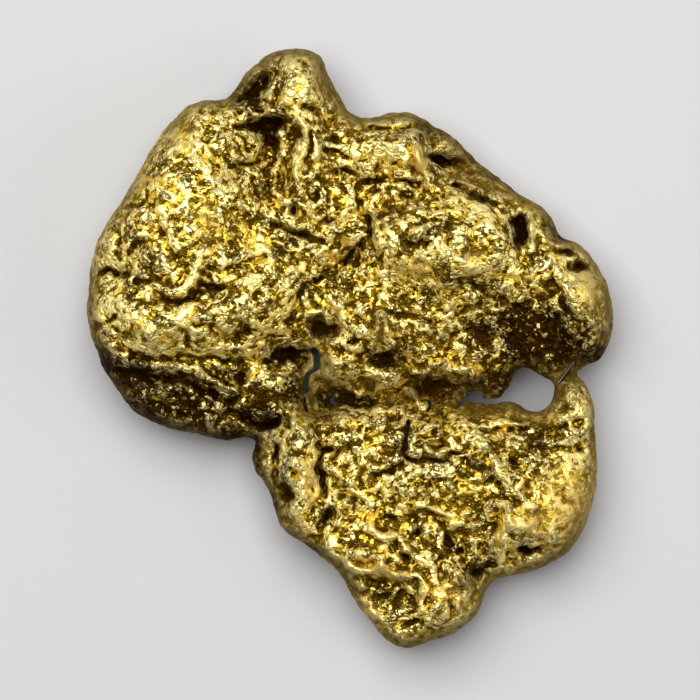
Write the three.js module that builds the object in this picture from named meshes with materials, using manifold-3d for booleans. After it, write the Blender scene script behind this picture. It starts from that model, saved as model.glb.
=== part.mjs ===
// A gold nugget: one lump of native gold, folded and hammered flat in a river bed.
//
// It lies on its back, +Z up, in millimetres. Its long side runs along Y. The origin is under the
// middle of its bounding box, on the surface it rests on. The solid holds the nugget's outline, its
// domes, saddles and valleys, the gap that runs right through it and the slits beside its fingers.

import * as THREE from 'three';
import { mergeVertices } from 'three/addons/utils/BufferGeometryUtils.js';
import Module from 'manifold-3d';

const wasm = await Module();
wasm.setup();

// --- Driving dimensions, mm ---

const RIM_HEIGHT = 2.3;         // the edge's widest line, above the resting surface
const TOP_HEIGHT = 3.5;         // the plain top, away from every lobe and valley
const BACK_HEIGHT = 0.62;       // the plain back, away from the worn seats
const THINNEST = 1.3;           // the least thickness away from the edges
const LEAST_RISE = 0.2;         // of the top above the edge's widest line
const TOP_ROUND = 1.25;         // how far in from the edge the top reaches its full height
const BACK_ROUND = 1.7;         // the same for the back
const GAP_EASE = 0.5;           // how much less the surface drops at a gap's edge than at the rim
const SLIT_WIDTH = 0.16;        // between the lower finger's tip and the right lobe
const CELL = 0.62;              // spacing of the grid that the surface is drawn on
const GRID_MARGIN = 1.1;        // how far the grid reaches past the outline
const GRID_LOW = -1.6;          // below the back's lowest lobe, before it is worn flat
const GRID_HIGH = 9.0;          // above the tallest dome
const OUTLINE_STEP = 0.25;      // spacing of the points along a smoothed outline
const SHORTEST_EDGE = 0.02;     // of the finished mesh
const JUST_INSIDE = 0.04;       // a share of the way from the skin to the nugget's middle

// --- The outline, seen from above, clockwise, in stretches between its sharp inner corners ---

const TOP_KNOB = [
  [-5.3, 11.3], [-5.22, 11.75], [-4.82, 12.33], [-3.97, 13.02], [-3.3, 13.38], [-2.5, 13.6],
  [-1.88, 13.53], [-1.22, 13.22], [-0.99, 12.83], [-0.97, 12.22], [-0.5, 11.5], [-0.15, 10.85],
];
const UPPER_RIGHT_EDGE = [
  [0.02, 10.38], [0.35, 10.29], [0.85, 10.42], [1.42, 10.41], [1.98, 10.65], [2.52, 10.71],
  [3.06, 10.57], [3.5, 10.13], [4.45, 9.77], [4.97, 9.25], [5.55, 8.84], [5.9, 8.4],
  [6.9, 7.6], [7.6, 6.97], [8.55, 6.46], [9.03, 6.12], [9.27, 5.65], [9.27, 5.1],
];
const RIGHT_LOBE = [
  [9.4, 4.92], [9.78, 5.07], [10.2, 4.87], [10.95, 4.05], [11.5, 3.15], [11.8, 2.2],
  [11.88, 1.2], [11.82, 0.4], [11.5, -0.3], [11.05, -0.78], [10.55, -0.7], [10.15, -0.63],
];
const RIGHT_FINGER = [
  [9.78, -1.02], [10.15, -1.17], [10.6, -1.47], [10.87, -2.0], [11.07, -2.9], [11.1, -4.3],
];
const RIGHT_BULGE = [
  [11.17, -5.5], [11.14, -6.5], [10.9, -7.4], [10.4, -8.5], [9.75, -9.3], [8.6, -9.9],
  [7.6, -10.28], [6.5, -10.4],
];
const BOTTOM_TIP = [
  [6.12, -10.55], [6.15, -11.0], [6.02, -11.6], [5.6, -12.3], [4.7, -12.88], [3.5, -13.3],
  [2.5, -13.66], [1.9, -13.52], [1.45, -13.1], [1.1, -12.5], [0.5, -11.85], [0.06, -11.2],
  [-0.15, -10.55],
];
const LOWER_LEFT_EDGE = [
  [-0.65, -10.0], [-1.2, -9.48], [-1.85, -9.0], [-2.2, -8.68], [-2.75, -8.5], [-3.15, -8.2],
  [-3.38, -7.65], [-3.42, -7.1], [-3.75, -6.35], [-4.1, -5.75], [-4.55, -5.3], [-4.62, -4.85],
  [-4.3, -4.45],
];
const UNDER_THE_DOME = [
  [-3.9, -4.0], [-4.25, -3.93], [-4.7, -3.98], [-5.1, -4.23], [-5.85, -4.28], [-6.7, -3.97],
  [-7.9, -3.7], [-8.9, -3.38], [-9.6, -3.0], [-10.1, -2.5], [-10.45, -1.85], [-10.95, -1.25],
];
const LEFT_DOME = [
  [-11.3, -0.5], [-11.62, 0.4], [-11.85, 1.3], [-11.86, 2.2], [-11.67, 2.9], [-11.77, 3.5],
  [-11.3, 5.0], [-10.6, 6.08], [-9.95, 7.05], [-9.35, 8.1], [-8.9, 9.0], [-8.45, 9.65],
  [-7.7, 10.5], [-7.05, 11.05], [-6.6, 11.22], [-5.55, 11.13],
];
const OUTLINE = [
  ...TOP_KNOB, ...UPPER_RIGHT_EDGE, ...RIGHT_LOBE, ...RIGHT_FINGER, ...RIGHT_BULGE,
  ...BOTTOM_TIP, ...LOWER_LEFT_EDGE, ...UNDER_THE_DOME, ...LEFT_DOME,
];

// --- What runs right through: the gap between the lobes, and the slit at the left ---

const GAP = [
  [4.95, -2.5], [5.15, -2.15], [5.36, -1.92], [5.88, -1.84], [6.05, -2.08], [6.6, -2.17],
  [6.92, -1.97], [7.17, -1.57], [7.36, -1.0], [7.86, -0.78], [8.4, -1.0], [8.85, -1.36],
  [9.36, -1.5], [9.32, -2.0], [9.2, -2.5], [8.8, -2.83], [8.35, -3.0], [8.0, -2.9],
  [7.6, -2.55], [7.2, -2.48], [6.6, -2.62], [5.8, -2.5], [5.3, -2.4],
];
const LEFT_SLIT = [
  [-1.76, -0.04], [-1.55, 0.04], [-1.36, -0.18], [-1.24, -0.52], [-1.31, -0.88], [-1.57, -1.0],
  [-1.82, -1.15], [-1.74, -1.48], [-1.86, -1.8], [-1.93, -2.2], [-1.9, -2.6], [-1.8, -2.95],
  [-2.12, -2.6], [-2.06, -2.1], [-2.14, -1.7], [-2.02, -1.25], [-1.76, -0.9], [-1.66, -0.5],
];
const FINGER_SLIT = { from: [9.1, -1.75], to: [10.0, -0.75] };

// --- The relief of the top: rise is the height added at the middle, and long and wide are the
// distances along and across turn (degrees from +X) over which it dies away ---

const LOBES = [
  { name: 'left dome', at: [-7.3, 5.8], long: 5.2, wide: 3.7, turn: 75, rise: 3.2 },
  { name: 'ledge below the dome', at: [-7.6, 1.1], long: 3.7, wide: 1.5, turn: 5, rise: 1.9 },
  { name: 'top knob', at: [-2.4, 11.9], long: 1.8, wide: 1.3, turn: 90, rise: 1.8 },
  { name: 'ridge under the knob', at: [-2.1, 8.6], long: 2.8, wide: 0.8, turn: 90, rise: 1.4 },
  { name: 'upper middle', at: [1.5, 8.8], long: 2.3, wide: 1.3, turn: 0, rise: 1.6 },
  { name: 'tongue', at: [3.2, 8.6], long: 1.4, wide: 0.6, turn: 100, rise: 0.7 },
  { name: 'middle plateau', at: [3.6, 4.7], long: 4.5, wide: 2.4, turn: -12, rise: 3.0 },
  { name: 'bright bump', at: [5.5, 4.4], long: 1.7, wide: 1.5, turn: 60, rise: 0.5 },
  { name: 'saddle to the dome', at: [-3.6, 2.4], long: 2.6, wide: 1.7, turn: 10, rise: 1.5 },
  { name: 'foot of the plateau', at: [1.5, 0.8], long: 2.7, wide: 1.6, turn: 0, rise: 1.5 },
  { name: 'right lobe', at: [10.3, 2.3], long: 2.2, wide: 1.2, turn: 105, rise: 1.7 },
  { name: 'left finger', at: [-2.4, -5.2], long: 2.8, wide: 1.0, turn: 92, rise: 1.5 },
  { name: 'lower lobe', at: [2.6, -5.2], long: 4.6, wide: 2.4, turn: -12, rise: 1.3 },
  { name: 'slanting ridge', at: [6.2, -4.9], long: 2.6, wide: 0.8, turn: -57, rise: 0.8 },
  { name: 'right bulge', at: [9.0, -6.9], long: 3.2, wide: 2.6, turn: 60, rise: 1.3 },
  { name: 'right finger', at: [10.2, -2.3], long: 1.6, wide: 0.7, turn: 85, rise: 1.1 },
  { name: 'ridge over the tip', at: [1.0, -9.1], long: 2.2, wide: 0.9, turn: -15, rise: 1.2 },
  { name: 'bottom tip', at: [4.5, -11.4], long: 1.9, wide: 1.2, turn: -65, rise: 1.2 },
];
const VALLEYS = [
  { name: 'right of the dome', from: [-3.9, 9.8], to: [-3.8, 7.6], reach: 0.9, depth: 1.5 },
  { name: 'hollow in the knob', from: [-4.5, 11.6], to: [-3.7, 12.0], reach: 0.65, depth: 1.5 },
  { name: 'seam, upper half', from: [0.8, 6.4], to: [0.2, 4.2], reach: 0.6, depth: 1.0 },
  { name: 'seam, lower half', from: [0.2, 4.2], to: [-2.5, 1.4], reach: 0.6, depth: 1.0 },
  { name: 'crack above the plateau', from: [0.9, 7.5], to: [3.1, 7.4], reach: 0.6, depth: 1.1 },
  { name: 'slot in the upper edge', from: [3.9, 8.4], to: [5.3, 8.3], reach: 0.6, depth: 1.2 },
  { name: 'shelf under the slot', from: [4.6, 7.6], to: [7.0, 6.6], reach: 0.7, depth: 0.6 },
  { name: 'pit by the right corner', from: [7.6, 5.8], to: [7.8, 5.1], reach: 0.6, depth: 1.4 },
  { name: 'pit in the right lobe', from: [9.7, 4.4], to: [10.3, 3.7], reach: 0.6, depth: 0.8 },
  { name: 'brown pit', from: [-1.5, 0.9], to: [-1.0, 0.8], reach: 0.6, depth: 0.9 },
  { name: 'hollow by the slit', from: [-2.9, -0.4], to: [-1.9, -0.4], reach: 0.6, depth: 0.9 },
  { name: 'cavern at the left', from: [-1.7, -2.2], to: [0.7, -2.2], reach: 0.8, depth: 1.7 },
  { name: 'pass between the caverns', from: [0.7, -2.2], to: [2.6, -2.4], reach: 0.7, depth: 1.0 },
  { name: 'cavern at the right', from: [2.8, -1.9], to: [5.0, -2.3], reach: 0.8, depth: 1.7 },
  { name: 'dark hollow', from: [0.9, -0.5], to: [2.1, -0.5], reach: 0.6, depth: 0.6 },
  { name: 'lip under the dome', from: [-8.6, 2.3], to: [-6.2, 2.7], reach: 0.6, depth: 0.8 },
  { name: 'edge crack', from: [-11.4, 3.25], to: [-10.0, 3.4], reach: 0.6, depth: 0.7 },
  { name: 'left finger, left side', from: [-3.4, -4.4], to: [-3.3, -6.6], reach: 0.6, depth: 0.9 },
  { name: 'left finger, right side', from: [-1.3, -4.7], to: [-1.2, -8.0], reach: 0.6, depth: 0.9 },
  { name: 'hollow in the tip', from: [0.8, -10.8], to: [2.3, -10.8], reach: 0.7, depth: 0.6 },
  { name: 'groove over the right edge', from: [6.0, -9.8], to: [8.1, -9.1], reach: 0.6, depth: 1.0 },
];

// --- The back: worn seats that all reach the resting surface, and hollows between them ---

const SEATS = [
  { name: 'under the dome', at: [-7.0, 4.6], long: 3.2, wide: 2.4, turn: 70, rise: 1.0 },
  { name: 'under the plateau', at: [5.4, 4.4], long: 2.8, wide: 1.9, turn: -20, rise: 1.0 },
  { name: 'under the right bulge', at: [7.6, -6.6], long: 2.3, wide: 1.7, turn: 90, rise: 1.0 },
  { name: 'under the lower lobe', at: [0.6, -6.6], long: 2.4, wide: 1.6, turn: 110, rise: 1.0 },
];
const HOLLOWS = [
  { name: 'along the middle', from: [-3.5, 0.5], to: [4.0, -1.4], reach: 1.6, depth: 0.5 },
  { name: 'towards the knob', from: [-1.6, 6.0], to: [-2.2, 11.5], reach: 1.4, depth: 0.45 },
  { name: 'inside the tip', from: [2.6, -9.0], to: [3.8, -11.8], reach: 1.2, depth: 0.4 },
];

// --- Plan geometry ---

function smoothOutline(points) {
  const corners = points.map(([x, y]) => new THREE.Vector3(x, y, 0));
  const curve = new THREE.CatmullRomCurve3(corners, true, 'centripetal');
  const count = Math.round(curve.getLength() / OUTLINE_STEP);
  return curve.getSpacedPoints(count).slice(0, -1);
}

function closedEdges(points) {
  return points.map((point, i) => new THREE.Line3(point, points[(i + 1) % points.length]));
}

function distanceTo(edges, point) {
  const nearest = new THREE.Vector3();
  let least = Infinity;
  for (const edge of edges) {
    edge.closestPointToPoint(point, true, nearest);
    least = Math.min(least, nearest.distanceTo(point));
  }
  return least;
}

function isInside(edges, point) {
  let crossings = 0;
  for (const { start, end } of edges) {
    if ((start.y > point.y) === (end.y > point.y)) continue;
    const share = (point.y - start.y) / (end.y - start.y);
    if (start.x + share * (end.x - start.x) > point.x) crossings += 1;
  }
  return crossings % 2 === 1;
}

function depthInside(edges, point) {
  const distance = distanceTo(edges, point);
  return isInside(edges, point) ? distance : -distance;
}

const rim = closedEdges(smoothOutline(OUTLINE));
const openings = [GAP, LEFT_SLIT].map((points) => closedEdges(smoothOutline(points)));

// How deep a plan point lies inside the nugget. Beside a gap the metal stays thicker than at the
// rim, so the surface is only eased towards it and the gap's own wall is cut afterwards.
function planDepth(point) {
  const toGaps = openings.map((edges) => Math.max(0, -depthInside(edges, point)) + GAP_EASE);
  return Math.min(depthInside(rim, point), ...toGaps);
}

// --- Relief ---

function lobeHeight({ at, long, wide, turn, rise }, point) {
  const offset = new THREE.Vector2(point.x - at[0], point.y - at[1]);
  offset.rotateAround(new THREE.Vector2(), -THREE.MathUtils.degToRad(turn));
  return rise * Math.exp(-((offset.x / long) ** 2) - (offset.y / wide) ** 2);
}

function valleyDepth({ from, to, reach, depth }, point) {
  const line = new THREE.Line3(new THREE.Vector3(...from, 0), new THREE.Vector3(...to, 0));
  const distance = distanceTo([line], point);
  return depth * Math.exp(-((distance / reach) ** 2));
}

const sum = (list, measure, point) => list.reduce((total, item) => total + measure(item, point), 0);

function heightsAt(x, y) {
  const point = new THREE.Vector3(x, y, 0);
  const back = BACK_HEIGHT + sum(HOLLOWS, valleyDepth, point) - sum(SEATS, lobeHeight, point);
  const relief = sum(LOBES, lobeHeight, point) - sum(VALLEYS, valleyDepth, point);
  const top = Math.max(TOP_HEIGHT + relief, back + THINNEST, RIM_HEIGHT + LEAST_RISE);
  return { depth: planDepth(point), back, top };
}

// Positive inside the nugget. The section through the edge is a quarter ellipse above the rim's
// widest line and another below it.
function fieldAt({ depth, back, top }, z) {
  const above = z > RIM_HEIGHT;
  const round = above ? TOP_ROUND : BACK_ROUND;
  const reach = above ? top - RIM_HEIGHT : RIM_HEIGHT - back;
  const fromEdge = Math.max(0, 1 - depth / round);
  return 1 - fromEdge ** 2 - ((z - RIM_HEIGHT) / reach) ** 2;
}

// --- The skin, drawn on a grid: one vertex in each cell that it passes through, and one
// four-sided face across each grid edge that it crosses ---

function sampleField(counts, low) {
  const [nx, ny, nz] = counts;
  const values = new Float32Array(nx * ny * nz);
  for (let j = 0; j < ny; j += 1) {
    for (let i = 0; i < nx; i += 1) {
      const heights = heightsAt(low.x + i * CELL, low.y + j * CELL);
      for (let k = 0; k < nz; k += 1) {
        values[(k * ny + j) * nx + i] = fieldAt(heights, low.z + k * CELL);
      }
    }
  }
  return values;
}

const SQUARE = [[0, 0], [1, 0], [1, 1], [0, 1]];

// Where the four neighbours of one level are inside and outside by turns, the skin would pinch
// into an edge that four faces share, so the nearer of the two outside ones is taken in.
function openPinches(values, counts, indexOf) {
  let pinches = 0;
  for (let k = 0; k < counts[2]; k += 1) {
    for (let j = 0; j < counts[1] - 1; j += 1) {
      for (let i = 0; i < counts[0] - 1; i += 1) {
        const square = SQUARE.map(([a, b]) => indexOf([i + a, j + b, k]));
        const [a, b, c, d] = square.map((index) => values[index] > 0);
        if (a !== c || b !== d || a === b) continue;
        const [first, second] = square.filter((index) => values[index] <= 0);
        values[values[first] > values[second] ? first : second] = JUST_INSIDE;
        pinches += 1;
      }
    }
  }
  if (pinches) openPinches(values, counts, indexOf);
}

const CORNERS = [0, 1, 2, 3, 4, 5, 6, 7].map((bits) => [bits & 1, (bits >> 1) & 1, bits >> 2]);
const AXIS_STEPS = [[1, 0, 0], [0, 1, 0], [0, 0, 1]];
const CELL_EDGES = CORNERS.flatMap((start, a) => [1, 2, 4].filter((bit) => !(a & bit))
  .map((bit) => [a, a | bit]));

const moved = (cell, step) => cell.map((place, axis) => place + step[axis]);

function cellVertex(values, indexOf, cell) {
  const corner = CORNERS.map((step) => values[indexOf(moved(cell, step))]);
  const middle = new THREE.Vector3();
  let crossings = 0;
  for (const [a, b] of CELL_EDGES) {
    if ((corner[a] > 0) === (corner[b] > 0)) continue;
    const share = corner[a] / (corner[a] - corner[b]);
    const start = new THREE.Vector3(...CORNERS[a]);
    middle.add(start.lerp(new THREE.Vector3(...CORNERS[b]), share));
    crossings += 1;
  }
  return crossings ? middle.divideScalar(crossings).add(new THREE.Vector3(...cell)) : null;
}

// The four cells that share the grid edge running from a cell's low corner along an axis.
function cellsRound(cell, axis) {
  const [u, v] = [(axis + 1) % 3, (axis + 2) % 3];
  return SQUARE.map(([a, b]) => cell.map((place, i) => place - (i === u ? a : 0) - (i === v ? b : 0)));
}

function eachCell(counts, visit) {
  for (let k = 0; k < counts[2] - 1; k += 1) {
    for (let j = 0; j < counts[1] - 1; j += 1) {
      for (let i = 0; i < counts[0] - 1; i += 1) visit([i, j, k]);
    }
  }
}

function drawSkin(low, high) {
  const size = high.clone().sub(low).divideScalar(CELL);
  const counts = size.toArray().map((length) => Math.ceil(length) + 1);
  const indexOf = ([i, j, k]) => (k * counts[1] + j) * counts[0] + i;
  const values = sampleField(counts, low);
  openPinches(values, counts, indexOf);
  const positions = [];
  const vertexOf = new Map();
  const triangles = [];
  eachCell(counts, (cell) => {
    const vertex = cellVertex(values, indexOf, cell);
    if (!vertex) return;
    vertexOf.set(indexOf(cell), positions.length / 3);
    positions.push(...vertex.multiplyScalar(CELL).add(low).toArray());
    const here = values[indexOf(cell)] > 0;
    AXIS_STEPS.forEach((step, axis) => {
      if (here === values[indexOf(moved(cell, step))] > 0) return;
      const ring = cellsRound(cell, axis).map((neighbour) => vertexOf.get(indexOf(neighbour)));
      const [a, b, c, d] = here ? ring : ring.reverse();
      triangles.push(a, b, c, a, c, d);
    });
  });
  const geometry = new THREE.BufferGeometry();
  geometry.setAttribute('position', new THREE.Float32BufferAttribute(positions, 3));
  geometry.setIndex(triangles);
  return geometry;
}

// --- Cutting, with solids ---

function toSolid(geometry) {
  const bare = geometry.clone();
  bare.deleteAttribute('normal');
  bare.deleteAttribute('uv');
  const merged = mergeVertices(bare);
  const vertProperties = new Float32Array(merged.attributes.position.array);
  const triVerts = new Uint32Array(merged.index.array);
  return new wasm.Manifold(new wasm.Mesh({ numProp: 3, vertProperties, triVerts }));
}

// A wall that passes close to a vertex leaves slivers: each edge too short to keep is closed up.
function closeShortEdges(vertices, triangles) {
  const keeper = vertices.map((vertex, i) => i);
  const keptFor = (i) => (keeper[i] === i ? i : keptFor(keeper[i]));
  for (const [a, b, c] of triangles) {
    for (const [start, end] of [[a, b], [b, c], [c, a]]) {
      const isShort = vertices[start].distanceTo(vertices[end]) < SHORTEST_EDGE;
      if (isShort) keeper[keptFor(end)] = keptFor(start);
    }
  }
  const closed = triangles.map((triangle) => triangle.map(keptFor));
  return closed.filter(([a, b, c]) => a !== b && b !== c && c !== a);
}

function toGeometry(solid) {
  const { vertProperties, triVerts } = solid.getMesh();
  const attribute = new THREE.Float32BufferAttribute(vertProperties, 3);
  const vertices = Array.from({ length: attribute.count }, (unused, i) => (
    new THREE.Vector3().fromBufferAttribute(attribute, i)));
  const triangles = Array.from({ length: triVerts.length / 3 }, (unused, i) => (
    [...triVerts.slice(3 * i, 3 * i + 3)]));
  const geometry = new THREE.BufferGeometry();
  geometry.setAttribute('position', attribute);
  geometry.setIndex(closeShortEdges(vertices, triangles).flat());
  geometry.computeVertexNormals();
  return geometry;
}

function openingCutter(points) {
  const flat = smoothOutline(points).map(({ x, y }) => new THREE.Vector2(x, y));
  const settings = { depth: GRID_HIGH - GRID_LOW, bevelEnabled: false };
  return new THREE.ExtrudeGeometry(new THREE.Shape(flat), settings).translate(0, 0, GRID_LOW);
}

function slitCutter({ from, to }) {
  const start = new THREE.Vector2(...from);
  const along = new THREE.Vector2(...to).sub(start);
  const slit = new THREE.BoxGeometry(along.length(), SLIT_WIDTH, GRID_HIGH - GRID_LOW);
  slit.rotateZ(along.angle());
  return slit.translate(start.x + along.x / 2, start.y + along.y / 2, (GRID_LOW + GRID_HIGH) / 2);
}

// What lies under the resting surface, so that the back's lowest parts are worn flat.
function groundCutter(low, high) {
  const ground = new THREE.BoxGeometry(high.x - low.x, high.y - low.y, -low.z);
  return ground.translate((low.x + high.x) / 2, (low.y + high.y) / 2, low.z / 2);
}

function gridCorners() {
  const plan = new THREE.Box2().setFromPoints(OUTLINE.map(([x, y]) => new THREE.Vector2(x, y)));
  const { min, max } = plan.expandByScalar(GRID_MARGIN);
  return [new THREE.Vector3(min.x, min.y, GRID_LOW), new THREE.Vector3(max.x, max.y, GRID_HIGH)];
}

function makeNuggetGeometry() {
  const [low, high] = gridCorners();
  const cutters = [openingCutter(GAP), openingCutter(LEFT_SLIT), slitCutter(FINGER_SLIT)];
  cutters.push(groundCutter(low, high));
  let solid = toSolid(drawSkin(low, high));
  for (const cutter of cutters) solid = solid.subtract(toSolid(cutter));
  const geometry = toGeometry(solid);
  geometry.computeBoundingBox();
  const centre = geometry.boundingBox.getCenter(new THREE.Vector3());
  return geometry.translate(-centre.x, -centre.y, 0);
}

// --- The part ---

const nativeGold = new THREE.MeshStandardMaterial({ color: 0xc79a2b, roughness: 0.34, metalness: 1 });

const nugget = new THREE.Mesh(makeNuggetGeometry(), nativeGold);
nugget.name = 'nugget';

const part = new THREE.Group();
part.name = 'gold_nugget';
part.add(nugget);

export default part;
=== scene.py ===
# %% [markdown]
# # A gold nugget
# One lump of native gold, folded and beaten flat by river gravel. The real thing has no separate
# skin or coating: the same metal is crumpled in its hollows and burnished where stones rubbed it,
# and brown iron stain has settled in what the stones couldn't reach.
#
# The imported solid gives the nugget's size, its outline and its main domes. Here it becomes a
# volume of small cubes, which is carved, crumpled and turned back into one fine mesh. Sculpting
# by hand could look as good but not be repeated, and a bump map alone would leave every edge
# smooth, so the shape is made first and a fine bump is laid over it last.

# %% Load the frame and keep its box
import math
import bpy
import numpy as np
import openvdb
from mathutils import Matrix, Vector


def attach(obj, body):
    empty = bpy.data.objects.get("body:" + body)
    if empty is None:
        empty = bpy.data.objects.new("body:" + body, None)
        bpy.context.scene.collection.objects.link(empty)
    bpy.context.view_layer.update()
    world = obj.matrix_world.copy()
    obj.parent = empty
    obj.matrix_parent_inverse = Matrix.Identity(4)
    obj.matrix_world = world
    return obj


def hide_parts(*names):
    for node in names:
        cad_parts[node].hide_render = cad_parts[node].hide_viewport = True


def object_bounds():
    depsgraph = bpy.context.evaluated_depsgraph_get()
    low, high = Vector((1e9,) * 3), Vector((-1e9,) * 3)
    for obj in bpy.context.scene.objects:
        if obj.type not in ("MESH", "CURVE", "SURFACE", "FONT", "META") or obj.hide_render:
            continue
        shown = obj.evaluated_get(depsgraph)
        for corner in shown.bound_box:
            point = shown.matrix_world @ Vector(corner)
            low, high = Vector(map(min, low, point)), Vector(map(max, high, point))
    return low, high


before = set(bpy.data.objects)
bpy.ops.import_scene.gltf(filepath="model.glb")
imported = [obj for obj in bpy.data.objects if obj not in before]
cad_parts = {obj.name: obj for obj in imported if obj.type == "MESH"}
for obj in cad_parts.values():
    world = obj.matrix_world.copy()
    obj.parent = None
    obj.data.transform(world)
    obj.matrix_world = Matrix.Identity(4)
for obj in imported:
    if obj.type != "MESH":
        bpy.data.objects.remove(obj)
cad_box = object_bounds()
MM = 0.001
print("CAD box, mm:", [[round(v / MM, 2) for v in corner] for corner in cad_box])

# %% [markdown]
# ## From solid to volume
# The solid's flat facets are about half a millimetre wide, and they would show. A level set holds,
# for each small cube, the distance to the skin, less than nothing inside the metal. Blurring those
# distances rounds the facets away. The sums that blur can also read the volume at new places, so
# one step both smooths it and spreads it onto finer cubes.

# %% Read the solid into a coarse volume
COARSE_MM = 0.2
BAND_MM = 2.6


def mesh_arrays(mesh):
    """Vertices in millimetres and triangles, as arrays."""
    points = np.empty(len(mesh.vertices) * 3, np.float32)
    mesh.vertices.foreach_get("co", points)
    mesh.calc_loop_triangles()
    triangles = np.empty(len(mesh.loop_triangles) * 3, np.int32)
    mesh.loop_triangles.foreach_get("vertices", triangles)
    return points.reshape(-1, 3) / MM, triangles.reshape(-1, 3).astype(np.uint32)


def level_set(mesh, cube):
    """Distances to the mesh in millimetres, and the places of the samples along each axis."""
    points, triangles = mesh_arrays(mesh)
    grid = openvdb.FloatGrid.createLevelSetFromPolygons(
        points, triangles=triangles, transform=openvdb.createLinearTransform(voxelSize=cube),
        halfWidth=BAND_MM / cube)
    low, high = grid.evalActiveVoxelBoundingBox()
    distances = np.empty([b - a + 1 for a, b in zip(low, high)], np.float32)
    grid.copyToArray(distances, ijk=low)
    return distances, [np.arange(a, b + 1) * cube for a, b in zip(low, high)]


coarse, coarse_axes = level_set(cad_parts["nugget"].data, COARSE_MM)
print("coarse volume:", coarse.shape)

# %% Blur it onto finer cubes
FINE_MM = 0.085
FACET_BLUR_MM = 0.24
MARGIN_MM = 0.7


def spread(values, old_axes, new_axes, radius):
    """The values blurred by radius and read at new places, one axis at a time."""
    for axis, (old, new) in enumerate(zip(old_axes, new_axes)):
        weights = np.exp(-0.5 * ((new[:, None] - old[None, :]) / radius) ** 2)
        weights = (weights / weights.sum(axis=1, keepdims=True)).astype(np.float32)
        values = np.moveaxis(np.tensordot(weights, values, axes=(1, axis)), 0, axis)
    return values


low_mm, high_mm = [np.array(corner) / MM for corner in cad_box]
axes = [np.arange(a - MARGIN_MM, b + MARGIN_MM, FINE_MM) for a, b in zip(low_mm, high_mm)]
volume = spread(coarse, coarse_axes, axes, FACET_BLUR_MM)
print("fine volume:", volume.shape)

# %% [markdown]
# ## Relief, drawn from above
# A nugget's folds, cracks and pits all open upwards here, so they are drawn on one height map seen
# from above, in millimetres from the middle of the nugget, and the volume's skin is pushed in or
# out by it. Three tools are enough: a stroke along a line, a dish, and a slit that is cut right
# through. Real folds wander, so the map's own coordinates are bent a little by noise before
# anything is drawn.

# %% Noise, for everything that nature left irregular


def gradient_noise(points, wavelength, seed):
    """Smooth noise from about -1 to 1, at points in millimetres with any number of axes."""
    place = (points - points.min(axis=0)) / wavelength
    cell = np.floor(place).astype(np.int32)
    count = points.shape[1]
    slopes = np.random.default_rng(seed).normal(size=(*(cell.max(axis=0) + 2), count))
    slopes = (slopes / np.linalg.norm(slopes, axis=-1, keepdims=True)).astype(np.float32)
    part = (place - cell).astype(np.float32)
    ease = part ** 3 * (part * (part * 6 - 15) + 10)
    total = np.zeros(len(points), np.float32)
    for corner in np.ndindex(*[2] * count):
        slope = slopes[tuple((cell + corner).T)]
        share = np.prod(np.where(corner, ease, 1 - ease), axis=1)
        total += (slope * (part - corner)).sum(axis=1) * share
    return total * 1.6


X, Y = np.meshgrid(axes[0], axes[1], indexing="ij")
plan = np.stack([X.ravel(), Y.ravel()], axis=1)


def plan_noise(wavelength, seed):
    return gradient_noise(plan, wavelength, seed).reshape(X.shape)


BENT_X = X + 0.13 * plan_noise(0.9, 11) + 0.10 * plan_noise(0.4, 12)
BENT_Y = Y + 0.13 * plan_noise(0.9, 13) + 0.10 * plan_noise(0.4, 14)
UNEVEN = 1 + 0.7 * plan_noise(0.7, 15)
RAGGED = 1 + 0.4 * plan_noise(0.55, 16)
print("plan map:", X.shape)

# %% Three drawing tools
relief = np.zeros(X.shape)


def drawn(piece):
    print(piece, "drawn; relief", round(relief.min(), 2), "to", round(relief.max(), 2), "mm")


def distance_to_line(points, x, y):
    """Distance of every place (x, y) to a line through the points."""
    nearest = np.full(x.shape, np.inf)
    for (ax, ay), (bx, by) in zip(points, points[1:] or points):
        dx, dy = bx - ax, by - ay
        length = max(dx * dx + dy * dy, 1e-9)
        share = np.clip(((x - ax) * dx + (y - ay) * dy) / length, 0, 1)
        nearest = np.minimum(nearest, np.hypot(x - ax - share * dx, y - ay - share * dy))
    return nearest


def stroke(rise, width, *points):
    """A rounded ridge, or a sharp groove if rise is less than nothing, along a line."""
    near = distance_to_line(points, BENT_X, BENT_Y) / (width if rise > 0 else 0.85 * width)
    relief[...] += rise * UNEVEN * np.exp(-near ** (2 if rise > 0 else 1.3))


def dish(depth, x, y, long, wide, turn=0.0):
    """A pit with a flat floor and steep sides, or a lump if depth is less than nothing."""
    a = math.radians(turn)
    along = (BENT_X - x) * math.cos(a) + (BENT_Y - y) * math.sin(a)
    across = (BENT_Y - y) * math.cos(a) - (BENT_X - x) * math.sin(a)
    inside = np.hypot(along / long, across / wide) * RAGGED
    relief[...] -= 0.7 * depth * np.exp(-inside ** 2.5)


# %% [markdown]
# ### The left dome
# The tallest part. A fold runs down its middle and turns into a lip with a groove under it, and a
# crack comes in from the left edge.

# %% Draw the left dome
stroke(0.20, 0.30, (-6.9, 10.2), (-6.8, 8.5), (-6.3, 7.4), (-5.5, 6.8), (-4.4, 6.2))
stroke(0.22, 0.30, (-7.1, 7.6), (-7.4, 6.1), (-6.9, 5.0), (-6.7, 4.1), (-7.2, 2.95), (-7.9, 2.6))
stroke(-0.24, 0.35, (-9.0, 6.9), (-8.7, 5.7), (-8.2, 4.8), (-7.8, 4.0))
dish(0.35, -10.3, 5.05, 0.5, 0.22, 95)
dish(0.38, -9.5, 4.62, 0.5, 0.27, 30)
stroke(0.16, 0.14, (-9.95, 4.45), (-9.6, 4.95), (-9.05, 4.95))
dish(0.22, -9.6, 6.4, 0.35, 0.15, 20)
dish(0.2, -8.2, 9.15, 0.3, 0.2, 40)
dish(0.25, -6.7, 10.5, 0.15, 0.15)
dish(0.55, -4.95, 9.9, 0.4, 0.2, 10)
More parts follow.
